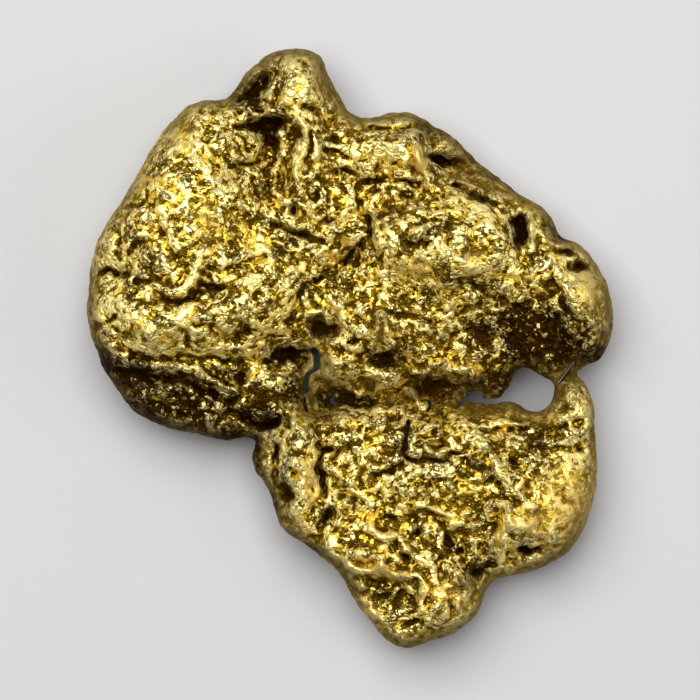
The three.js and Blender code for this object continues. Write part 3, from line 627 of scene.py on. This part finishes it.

# %% [markdown]
# ### Where light is painted
# These ovals are painted light: places in them get more pale leaves and less brown, so they read
# brighter.

# %% Draw where light is painted
# Painted light: each oval makes its place read brighter.
PAINTED_LIGHT = (
    (0.75, -6.9, 6.8, 2.6, 3.6, -12), (0.8, -4.6, 4.9, 1.6, 1.3), (0.9, -8.6, 1.0, 2.4, 1.0, -8),
    (0.8, 1.8, 8.7, 1.3, 1.1), (1.0, 3.3, 3.4, 2.8, 0.8, 12), (0.7, 5.6, 4.9, 1.4, 1.2),
    (1.9, 6.8, -8.1, 0.9, 1.7), (1.4, 8.3, -8.2, 0.8, 0.6), (0.9, 6.1, -4.6, 0.5, 2.2, 40),
    (0.8, 1.8, -10.1, 1.9, 0.5, -15), (1.1, -1.3, -6.7, 0.8, 1.4, 20),
    (0.5, -2.4, -4.9, 0.6, 1.1), (0.4, 4.0, -11.6, 1.2, 1.0), (0.9, -4.5, 8.2, 1.1, 0.7),
    (1.2, 2.2, -1.6, 0.8, 0.4), (0.8, -1.8, 9.3, 0.4, 0.7), (0.6, -0.4, 2.6, 1.3, 0.7, 20),
    (0.8, 10.3, -2.6, 0.6, 1.6), (0.7, 0.2, -3.3, 1.7, 0.6), (1.0, 0.7, -7.4, 1.6, 1.1),
    (0.9, 2.2, -3.1, 0.6, 0.6), (0.8, 2.6, -10.9, 1.0, 0.7), (0.8, 8.8, 3.5, 0.6, 0.7),
    (0.8, -0.4, 3.6, 0.8, 0.6), (0.6, 1.6, 7.8, 1.2, 0.4), (0.7, 10.4, 2.5, 0.9, 1.8, 12),
    (0.9, 0.6, 7.4, 0.7, 0.6), (1.1, -0.6, 2.9, 0.9, 0.6), (0.9, -4.3, 6.2, 0.8, 0.6),
    (0.9, -5.6, 4.4, 0.9, 0.6), (1.0, -8.6, 0.4, 1.0, 0.5), (0.9, 3.8, -11.6, 0.8, 0.6),
    (0.8, 5.9, 3.2, 0.6, 0.7), (0.8, 2.5, -1.5, 0.7, 0.4), (0.9, 4.2, 6.6, 0.7, 0.5),
    (0.8, 2.5, -8.4, 0.6, 0.5), (0.9, 2.4, 3.2, 0.9, 0.6), (0.9, -8.9, 8.7, 1.8, 0.8, 50),
    (0.9, -10.9, 5.0, 0.7, 2.0, -20), (0.8, 10.5, -6.0, 0.6, 2.0), (0.9, 1.9, -11.8, 1.3, 0.8),
    (1.0, 2.0, -10.4, 1.0, 0.5), (0.9, -6.8, 10.2, 0.9, 0.6),
)
for oval in PAINTED_LIGHT:
    patch(painted_light_map, *oval)
print("painted_light", round(painted_light_map.mean(), 3))

# %% [markdown]
# ## Carve the volume
# Each height is taken off the distance to the skin, which moves the skin outwards by it. The
# drawing fades out at the rim and down the sides, so the outline stays the solid's, and on the
# highest spots, so the peaks stay under the solid's top. A height drawn on a steep wall would be
# pulled out into a fin, so ridges are made lower there.

# %% Press the relief into the top


def eased(values, low, high):
    """0 below low, 1 above high, and a smooth climb between."""
    share = np.clip((values - low) / (high - low), 0, 1)
    return share * share * (3 - 2 * share)


RIM_FADE_MM = 0.4
SIDE_LOW_MM, SIDE_HIGH_MM = 0.8, 1.9
PEAK_FADE_MM, PEAK_FADE = 0.6, 0.55
METAL_LEFT_MM = 0.4
WALL_BLUR_MM = 0.25
STEEPEST = 1.2

half_thickness = -volume.min(axis=2)
in_from_rim = eased(half_thickness, 0.0, RIM_FADE_MM)
on_top = eased(axes[2], SIDE_LOW_MM, SIDE_HIGH_MM)
below_peak = 1 - PEAK_FADE * eased(axes[2], high_mm[2] - PEAK_FADE_MM, high_mm[2])
relief = np.maximum(relief, -np.maximum(0, 1.5 * half_thickness - METAL_LEFT_MM))
thickness = spread(FINE_MM * (volume < 0).sum(axis=2), axes[:2], axes[:2], WALL_BLUR_MM)
steepness = np.hypot(*np.gradient(thickness, FINE_MM))
relief = np.where(relief > 0, relief / np.maximum(1, steepness / STEEPEST), relief)
volume -= (relief * in_from_rim)[:, :, None] * (on_top * below_peak)
print("relief pressed in")

# %% [markdown]
# ## The crumple
# Gold this soft wrinkles like foil: rounded ridges a few tenths of a millimetre apart, with sharp
# creases between them. The absolute value of smooth noise has just that section, round on top and
# sharp where it crosses zero. Three sizes are laid over one another, and bending the noise's own
# coordinates first makes the ridges wander like worms.

# %% Crumple the skin
CRUMPLE = ((1.6, 0.10, 21), (0.9, 0.12, 22), (0.55, 0.12, 23))
SWELL_MM, SWELL_RISE = 2.6, 0.05
REACH_MM = 0.42
BEND_MM, BEND_WAVELENGTH_MM = 0.22, 0.8

near_skin = np.nonzero(np.abs(volume) < REACH_MM)
places = np.stack([axes[i][near_skin[i]] for i in range(3)], axis=1).astype(np.float32)
bend = [gradient_noise(places, BEND_WAVELENGTH_MM, seed) for seed in (1, 2, 3)]
bent = places + BEND_MM * np.stack(bend, axis=1)
rough = 1 - 0.85 * worn_map[near_skin[:2]]
rough *= 0.5 + 0.5 * in_from_rim[near_skin[:2]]
rough *= (0.65 + 0.35 * on_top[near_skin[2]]) * below_peak[near_skin[2]]
crumple = np.zeros(len(places), np.float32)
for wavelength, rise, seed in CRUMPLE:
    crumple += rise * (0.6 - np.exp(-np.abs(gradient_noise(bent, wavelength, seed)) / 0.22))
swell = SWELL_RISE * gradient_noise(places, SWELL_MM, 24)
volume[near_skin] -= crumple * rough + swell
print("crumpled", len(places), "cubes")

# %% [markdown]
# ## Slits and a worn back
# Keeping the larger of two distances takes one shape out of another. The slits are cut so, and
# what the swelling pushed below the floor is worn flat.

# %% Cut the slits and flatten the back
volume = np.maximum(volume, openings[:, :, None].astype(np.float32))
volume = np.maximum(volume, -axes[2].astype(np.float32))
print("metal, cubic mm:", round(float((volume < 0).sum()) * FINE_MM ** 3))

# %% [markdown]
# ## From volume to mesh
# The skin of the volume comes out as small squares, far more than needed on the flats, so they
# are thinned out where the surface is plain.

# %% Make the mesh
FACES_MOST = 197000


def skin_mesh(name):
    """The volume's zero surface, thinned to FACES_MOST triangles."""
    grid = openvdb.FloatGrid(background=1.0)
    grid.copyFromArray(np.ascontiguousarray(volume, dtype=np.float32))
    points, quads = grid.convertToQuads(isovalue=0.0)
    points = (points * FINE_MM + [axis[0] for axis in axes]) * MM
    mesh = bpy.data.meshes.new(name)
    mesh.vertices.add(len(points))
    mesh.vertices.foreach_set("co", points.astype(np.float32).ravel())
    mesh.loops.add(quads.size)
    mesh.loops.foreach_set("vertex_index", quads[:, ::-1].astype(np.int32).ravel())
    mesh.polygons.add(len(quads))
    mesh.polygons.foreach_set("loop_start", np.arange(len(quads), dtype=np.int32) * 4)
    mesh.update(calc_edges=True)
    print("squares:", len(quads))
    full = bpy.data.objects.new(name, mesh)
    bpy.context.scene.collection.objects.link(full)
    thin = full.modifiers.new("thin", "DECIMATE")
    thin.ratio = min(1.0, FACES_MOST / (2 * len(quads)))
    finished = bpy.data.meshes.new_from_object(full.evaluated_get(
        bpy.context.evaluated_depsgraph_get()))
    bpy.data.objects.remove(full)
    return finished


nugget_mesh = skin_mesh("nugget_gold")
nugget_mesh.shade_smooth()
nugget = bpy.data.objects.new("nugget_gold", nugget_mesh)
bpy.context.scene.collection.objects.link(nugget)
print("triangles:", len(nugget_mesh.polygons))

# %% [markdown]
# ## What each point knows
# The finish depends on the shape: ridges are painted bright as a highlight and creases brown as
# shade. Blurring the volume and reading it at the skin tells which is which, since a ridge sticks
# out of the blurred shape and a crease lies inside it. That, the three drawn maps and how near the
# rim a point is are stored on the vertices, where the material reads them.

# %% Read a map or a volume at the vertices


def read_at(values, sample_axes, points):
    """The values at points in millimetres, between their samples."""
    steps = [axis[1] - axis[0] for axis in sample_axes]
    place = [(points[:, i] - axis[0]) / step
             for i, (axis, step) in enumerate(zip(sample_axes, steps))]
    cell = [np.clip(p.astype(int), 0, n - 2) for p, n in zip(place, values.shape)]
    total = np.zeros(len(points))
    for corner in np.ndindex(*[2] * values.ndim):
        share = np.ones(len(points))
        for p, c, step in zip(place, cell, corner):
            share *= (p - c) if step else 1 - (p - c)
        total += share * values[tuple(c + step for c, step in zip(cell, corner))]
    return total


skin_points = mesh_arrays(nugget_mesh)[0]
print("vertices:", len(skin_points))

# %% [markdown]
# ### Masks
# The stain and painted shade fade out towards the floor, and the rim mask is weaker where light is
# painted.

# %% Store the masks on the vertices
CREASE_BLUR_MM, CREASE_MOST_MM = 0.2, 0.08
HOLLOW_BLUR_MM, HOLLOW_MOST_MM = 0.8, 0.5
STAIN_SHADE_LOW_MM, STAIN_SHADE_HIGH_MM = 0.6, 1.6
RIM_LOW_MM, RIM_HIGH_MM = 0.1, 0.9
RIM_LESS_WHERE_LIT = 0.6


def sunk_in(blur, most):
    """0 on a ridge, 0.5 on the flat and 1 in a crease, compared with the shape blurred away."""
    every = max(1, round(blur / 3 / FINE_MM))
    thinned = np.clip(volume[::every, ::every, ::every], -1, 1)
    thinned_axes = [axis[::every] for axis in axes]
    blurred = spread(thinned, thinned_axes, thinned_axes, blur)
    return np.clip(0.5 - read_at(blurred, thinned_axes, skin_points) / (2 * most), 0, 1)


painted_light = read_at(painted_light_map, axes[:2], skin_points)
thick = read_at(half_thickness, axes[:2], skin_points)
off_floor = eased(skin_points[:, 2], STAIN_SHADE_LOW_MM, STAIN_SHADE_HIGH_MM)
# The stain map carries iron stain and painted shade; the clean map carries painted light.
masks = {
    "crease": sunk_in(CREASE_BLUR_MM, CREASE_MOST_MM),
    "hollow": sunk_in(HOLLOW_BLUR_MM, HOLLOW_MOST_MM),
    "stain_shade": read_at(stain_shade_map, axes[:2], skin_points) * off_floor,
    "worn": read_at(worn_map, axes[:2], skin_points),
    "painted_light": painted_light,
    "rim": (1 - eased(thick, RIM_LOW_MM, RIM_HIGH_MM)) * (1 - RIM_LESS_WHERE_LIT * np.clip(painted_light, 0, 1)),
}
for name, values in masks.items():
    layer = nugget_mesh.attributes.new(name, "FLOAT", "POINT")
    layer.data.foreach_set("value", values.astype(np.float32))
    print(name, [round(float(v), 2) for v in np.percentile(values, (5, 50, 95))])

# %% [markdown]
# ## Native gold
# Placer gold is about nine parts gold to one of silver, so it is a rich yellow with full metallic
# reflection. Where gravel rubbed it the surface is satin and catches broad highlights; in the
# creases the reflections come from gold to gold and turn orange, and iron stain dulls it to brown.
#
# A metal's look is mostly what it reflects, so a picture painted on it would look wrong as soon as
# the light moved. Here it is all nodes, though some of them paint highlights and shade into the
# colour: one function adds any node with its settings and links.

# %% Helpers for materials


def linear(hex_colour):
    """An sRGB hex colour as linear red, green, blue and alpha."""
    parts = [int(hex_colour[i:i + 2], 16) / 255 for i in (1, 3, 5)]
    return [p / 12.92 if p <= 0.04045 else ((p + 0.055) / 1.055) ** 2.4 for p in parts] + [1.0]


def node(tree, kind, settings=None, **links):
    """Adds a node. A link is a node (its first output in use), an output or a constant."""
    made = tree.nodes.new(kind)
    for key, value in (settings or {}).items():
        setattr(made, key, value)
    for key, value in links.items():
        by_number = key[0] == "n" and key[1:].isdigit()
        socket = made.inputs[int(key[1:]) if by_number else key.replace("_", " ")]
        if isinstance(value, bpy.types.Node):
            value = next(output for output in value.outputs if output.enabled)
        if isinstance(value, bpy.types.NodeSocket):
            tree.links.new(value, socket)
        else:
            socket.default_value = value
    return made


print("mid grey is", round(linear("#808080")[0], 3), "of white")

# %% [markdown]
# ### What every node reads
# A place on the nugget, for the patterns, and the masks from its vertices. Gravel wears the rim as
# it does the worn parts, and creases and leaves are less keen on both.

# %% Start the gold
# Short names for kinds of node and settings.
NOISE, MATHS = "ShaderNodeTexNoise", "ShaderNodeMath"
RANGE, BLEND = "ShaderNodeMapRange", "ShaderNodeMix"
PLUS, LESS, TIMES = {"operation": "ADD"}, {"operation": "SUBTRACT"}, {"operation": "MULTIPLY"}
TIMES_PLUS, UNSIGNED = {"operation": "MULTIPLY_ADD"}, {"operation": "ABSOLUTE"}
GREATER, SMALLER = {"operation": "MAXIMUM"}, {"operation": "MINIMUM"}
SOFT, COLOURS = {"interpolation_type": "SMOOTHSTEP"}, {"data_type": "RGBA"}

gold = bpy.data.materials.new("native_gold")
gold.use_nodes = True
tree = gold.node_tree
shader = tree.nodes["Principled BSDF"]
place = node(tree, "ShaderNodeTexCoord").outputs["Object"]
mask = {name: node(tree, "ShaderNodeAttribute", {"attribute_name": name}).outputs["Fac"]
        for name in masks}
smooth = node(tree, MATHS, GREATER, n0=mask["worn"], n1=mask["rim"])
keen = node(tree, RANGE, SOFT, Value=smooth, From_Min=0.0, From_Max=1.0, To_Min=1.0, To_Max=0.3)
print("masks read:", list(mask))

# %% [markdown]
# ### Winding creases
# The skin is wrinkled far finer than the mesh, with creases a third to two thirds of a millimetre
# apart. They wind like the line where smooth noise crosses its middle, so that is how they are
# drawn, in two sizes. A cell pattern would close every crease into a ring, which gold doesn't do.
# Noise scales are in turns per metre, so a size of 2 mm is a scale of 500.

# %% Creases
CREASE_SIZES_MM = (0.62, 0.36)
AREA_MM = 1.3

winding = []
for size_mm in CREASE_SIZES_MM:
    wander = node(tree, NOISE, Vector=place, Scale=1 / (size_mm * MM), Detail=2.5, Distortion=0.25)
    apart = node(tree, MATHS, UNSIGNED, n0=node(tree, MATHS, LESS, n0=wander, n1=0.5))
    winding.append(node(tree, RANGE, SOFT, Value=apart, From_Min=0.0, From_Max=0.07, To_Min=1.0,
                        To_Max=0.0))
both = node(tree, MATHS, GREATER, n0=winding[0], n1=winding[1])
areas = node(tree, NOISE, Vector=place, Scale=1 / (AREA_MM * MM), Detail=1.0)
deeper = node(tree, RANGE, SOFT, Value=areas, From_Min=0.35, From_Max=0.65, To_Min=1.15,
              To_Max=0.45)
wrinkle = node(tree, MATHS, TIMES, n0=both, n1=node(tree, MATHS, TIMES, n0=deeper, n1=keen))
print("creases, mm apart:", CREASE_SIZES_MM)

# %% [markdown]
# ### Leaves
# Between the creases the metal stands up in small leaves, about a quarter of a millimetre wide,
# with pale tops, a painted highlight, and a dark edge, a painted shade. Noise above a level gives
# islands of that kind. Moving the level with the masks puts more of them on ridges and where light
# is painted, and fewer in hollows and in stain and painted shade.

# %% Leaves
LEAF_MM = 0.26
LEAF_SHIFTS = {"crease": -0.22, "stain_shade": -0.08, "painted_light": 0.07, "hollow": -0.10}
LEVEL = 0.455

leaf_noise = node(tree, NOISE, Vector=place, Scale=1 / (LEAF_MM * MM), Detail=2.0, Distortion=0.3)
leaves = node(tree, MATHS, TIMES_PLUS, n0=areas, n1=0.25, n2=leaf_noise)
for name, shift in LEAF_SHIFTS.items():
    leaves = node(tree, MATHS, TIMES_PLUS, n0=mask[name], n1=shift, n2=leaves)
leaf_tops = node(tree, RANGE, SOFT, Value=leaves, From_Min=LEVEL + 0.015, From_Max=LEVEL + 0.05)
to_middle = node(tree, MATHS, LESS, n0=0.5, n1=leaf_tops)
near_rim = node(tree, MATHS, TIMES, n0=mask["rim"], n1=0.5)
tops = node(tree, MATHS, TIMES_PLUS, n0=to_middle, n1=near_rim, n2=leaf_tops)
off_edge = node(tree, MATHS, LESS, n0=leaves, n1=LEVEL - 0.01)
edge_line = node(tree, RANGE, SOFT, Value=node(tree, MATHS, UNSIGNED, n0=off_edge), From_Min=0.0,
                 From_Max=0.03, To_Min=1.0, To_Max=0.0)
edges = node(tree, MATHS, TIMES, n0=edge_line, n1=keen)
print("leaves, mm wide:", LEAF_MM)

# %% [markdown]
# ### Curls
# In some areas short ridges wander over the leaves, where the metal was dragged; their pale colour
# is a painted highlight. They are drawn as the creases are, but raised, and a second noise keeps
# them to parts of the surface.

# %% Curls
CURL_MM = 0.8
CURL_AREA_MM = 1.0

curl_noise = node(tree, NOISE, Vector=place, Scale=1 / (CURL_MM * MM), Detail=1.5, Distortion=0.5)
off_curl = node(tree, MATHS, UNSIGNED, n0=node(tree, MATHS, LESS, n0=curl_noise, n1=0.5))
curl_line = node(tree, RANGE, SOFT, Value=off_curl, From_Min=0.03, From_Max=0.08, To_Min=1.0,
                 To_Max=0.0)
curl_areas = node(tree, NOISE, Vector=place, Scale=1 / (CURL_AREA_MM * MM), Detail=1.0,
                  Distortion=0.3)
curled = node(tree, RANGE, SOFT, Value=curl_areas, From_Min=0.49, From_Max=0.58)
curls = node(tree, MATHS, TIMES, n0=curl_line, n1=node(tree, MATHS, TIMES, n0=curled, n1=keen))
tops = node(tree, MATHS, GREATER, n0=tops, n1=node(tree, MATHS, TIMES, n0=curls, n1=0.85))
wrinkle = node(tree, MATHS, TIMES, n0=wrinkle, n1=node(tree, MATHS, LESS, n0=1.0, n1=curls))
print("curls, mm apart:", CURL_MM)

# %% [markdown]
# ### The metal's colours, with painted light
# Leaf tops are painted pale yellow as a highlight, palest on the ridges. The low ground is olive and
# darkens into the creases as painted shade, the rubbed bulge is an even tan, and the edges and
# creases carry a dark line of painted shade. The rim is painted a darker olive-brown as shade.

# %% Colours
# Painted shade: the low ground's olive darkens into the creases.
shaded_low_ground = node(tree, "ShaderNodeValToRGB", n0=mask["crease"])
shaded_low_ground.color_ramp.elements[0].color = linear("#A08020")
shaded_low_ground.color_ramp.elements[0].position = 0.2
shaded_low_ground.color_ramp.elements[1].color = linear("#4E3A08")
shaded_low_ground.color_ramp.elements[1].position = 0.9
# Painted highlight: tops are pale yellow, palest on the ridges.
ridge_to_flat = node(tree, RANGE, SOFT, Value=mask["crease"], From_Min=0.25, From_Max=0.6)
painted_highlight = node(tree, BLEND, COLOURS, n0=ridge_to_flat, n6=linear("#FDEC9C"),
                 n7=linear("#E4C24A"))
leaf_light_and_shade = node(tree, BLEND, COLOURS, n0=tops, n6=shaded_low_ground, n7=painted_highlight)
rubbed = node(tree, MATHS, TIMES, n0=mask["worn"], n1=0.8)
even = node(tree, BLEND, COLOURS, n0=rubbed, n6=leaf_light_and_shade, n7=linear("#AE9040"))
# Painted shade: a dark line along the leaf edges and creases.
creased = node(tree, MATHS, GREATER, n0=node(tree, MATHS, TIMES, n0=edges, n1=0.85), n1=wrinkle)
crease_shade = node(tree, BLEND, COLOURS, n0=node(tree, MATHS, TIMES, n0=creased, n1=0.85), n6=even,
                n7=linear("#3A2A05"))
# Painted shade: the rim is darkened to olive-brown.
rim_shade = node(tree, MATHS, TIMES, n0=mask["rim"], n1=0.75)
rim_shaded = node(tree, BLEND, COLOURS, n0=rim_shade, n6=crease_shade, n7=linear("#4A380A"))
print("colours mixed")

# %% [markdown]
# ### Iron stain and painted shade
# Brown iron oxide and silt sit in the hollows and in patches, thick in some places and thin in
# others. The same near-black brown is painted shade too: it darkens hollows, and creases more than
# tops, and so gives the nugget its depth.

# %% Stain and painted shade
PATCH_MM = 2.0

# Painted shade in the hollows, together with stain, from the hollow mask.
deep = node(tree, RANGE, SOFT, Value=mask["hollow"], From_Min=0.58, From_Max=0.95, To_Min=0.0,
            To_Max=0.9)
less_where_lit = node(tree, RANGE, SOFT, Value=mask["painted_light"], From_Min=0.0, From_Max=1.0, To_Min=1.0,
                 To_Max=0.2)
hollow_stain_and_shade = node(tree, MATHS, TIMES, n0=deep, n1=less_where_lit)
patch_noise = node(tree, NOISE, Vector=place, Scale=1 / (PATCH_MM * MM), Detail=4.0)
patchy = node(tree, RANGE, SOFT, Value=patch_noise, From_Min=0.3, From_Max=0.7, To_Min=0.75,
              To_Max=1.25)
dirt_and_shade = node(tree, MATHS, TIMES, n0=node(tree, MATHS, PLUS, n0=mask["stain_shade"], n1=hollow_stain_and_shade), n1=patchy)
more_in_creases = node(tree, MATHS, TIMES_PLUS, n0=tops, n1=-0.38, n2=0.88)
more_in_creases = node(tree, MATHS, TIMES_PLUS, n0=both, n1=0.45, n2=more_in_creases)
stained_and_shaded = node(tree, MATHS, SMALLER, n0=node(tree, MATHS, TIMES, n0=dirt_and_shade, n1=more_in_creases), n1=0.97)
# The near-black brown below is iron stain and painted shade together.
colour = node(tree, BLEND, COLOURS, n0=stained_and_shaded, n6=rim_shaded, n7=linear("#241102"))
tree.links.new(colour.outputs[2], shader.inputs["Base Color"])
print("stain patches, mm wide:", PATCH_MM)

# %% [markdown]
# ### Roughness and fine relief
# River gold is satin, never a mirror: highlights spread but still sparkle. The bump carries the
# creases, leaves and curls, which are too fine for the mesh; everything larger is real geometry.

# %% Roughness and bump
SATIN_MM = 0.30
BUMP_MM = 0.06

shader.inputs["Metallic"].default_value = 1.0
satin_noise = node(tree, NOISE, Vector=place, Scale=1 / (SATIN_MM * MM), Detail=3.0)
satin = node(tree, RANGE, SOFT, Value=satin_noise, From_Min=0.3, From_Max=0.7, To_Min=0.50,
             To_Max=0.62)
dulled = node(tree, MATHS, TIMES_PLUS, n0=stained_and_shaded, n1=0.12, n2=satin)
rougher = node(tree, MATHS, TIMES_PLUS, n0=smooth, n1=0.16, n2=dulled)
tree.links.new(rougher.outputs[0], shader.inputs["Roughness"])

raised = node(tree, MATHS, TIMES, n0=node(tree, MATHS, TIMES, n0=tops, n1=0.25), n1=keen)
height = node(tree, MATHS, TIMES_PLUS, n0=wrinkle, n1=-1.0, n2=raised)
height = node(tree, MATHS, TIMES_PLUS, n0=edges, n1=-0.4, n2=height)
height = node(tree, MATHS, TIMES_PLUS, n0=curls, n1=0.5, n2=height)
bump = node(tree, "ShaderNodeBump", Strength=1.0, Distance=BUMP_MM * MM, Height=height)
tree.links.new(bump.outputs["Normal"], shader.inputs["Normal"])
nugget_mesh.materials.append(gold)
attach(nugget, "root")
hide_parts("nugget")
print("material nodes:", len(tree.nodes))

# %% [markdown]
# ## Floor
# A pale grey floor shows the outline and the gaps. It is staging, so it isn't part of the nugget.

# %% Floor
scene = bpy.context.scene
bpy.ops.mesh.primitive_plane_add(size=3.0, location=(0, 0, -0.00002))
floor = bpy.context.object
floor.name = "floor"
paper = bpy.data.materials.new("pale_paper")
paper.use_nodes = True
paper.node_tree.nodes["Principled BSDF"].inputs["Base Color"].default_value = linear("#919192")
paper.node_tree.nodes["Principled BSDF"].inputs["Roughness"].default_value = 0.8
floor.data.materials.append(paper)
print("floor:", floor.name)

# %% [markdown]
# ## Light
# One large soft box hangs a little beyond the knob and to the left, with a weak one opposite. Gold
# shows what it reflects, so the room is left dim to keep the creases dark.

# %% Light


def softbox(name, where, size, power, colour="#FFFFFF"):
    lamp = bpy.data.lights.new(name, "AREA")
    lamp.shape = "RECTANGLE"
    lamp.size, lamp.size_y = size
    lamp.energy = power
    lamp.color = linear(colour)[:3]
    holder = bpy.data.objects.new(name, lamp)
    scene.collection.objects.link(holder)
    holder.location = where
    holder.rotation_euler = (-holder.location).to_track_quat("-Z", "Y").to_euler()
    return holder


softbox("key", (-0.04, 0.09, 0.27), (0.30, 0.26), 2.5, "#FFFDFA")
softbox("fill", (0.24, -0.02, 0.16), (0.20, 0.20), 0.4)

world = bpy.data.worlds.new("studio")
scene.world = world
world.use_nodes = True
sky = world.node_tree
background = sky.nodes["Background"]
upward = node(sky, "ShaderNodeSeparateXYZ", n0=node(sky, "ShaderNodeTexCoord").outputs["Generated"])
haze = node(sky, "ShaderNodeMapRange", Value=upward.outputs["Z"], From_Min=0.0, From_Max=0.12,
            To_Min=0.45, To_Max=0.04)
grey = node(sky, "ShaderNodeCombineColor", n0=haze.outputs["Result"], n1=haze.outputs["Result"],
            n2=haze.outputs["Result"])
sky.links.new(grey.outputs[0], background.inputs["Color"])
print("lights:", [light.name for light in bpy.data.lights])

# %% [markdown]
# ## Camera
# Straight above, with a long lens. The frame's width is measured where the outline is widest, a
# few millimetres above the floor.

# %% Camera
FRAME_MM = 31.5
WIDEST_AT_MM = 2.6
CENTRE_Y_MM = -0.07
camera = bpy.data.cameras.new("camera")
camera.lens = 300
camera.sensor_width = 36
camera.clip_end = 5
camera_holder = bpy.data.objects.new("camera", camera)
scene.collection.objects.link(camera_holder)
distance = FRAME_MM * camera.lens / camera.sensor_width + WIDEST_AT_MM
camera_holder.location = (0.0, CENTRE_Y_MM * MM, distance * MM)
scene.camera = camera_holder
scene.view_settings.view_transform = "Standard"
print("camera is", round(distance), "mm up")
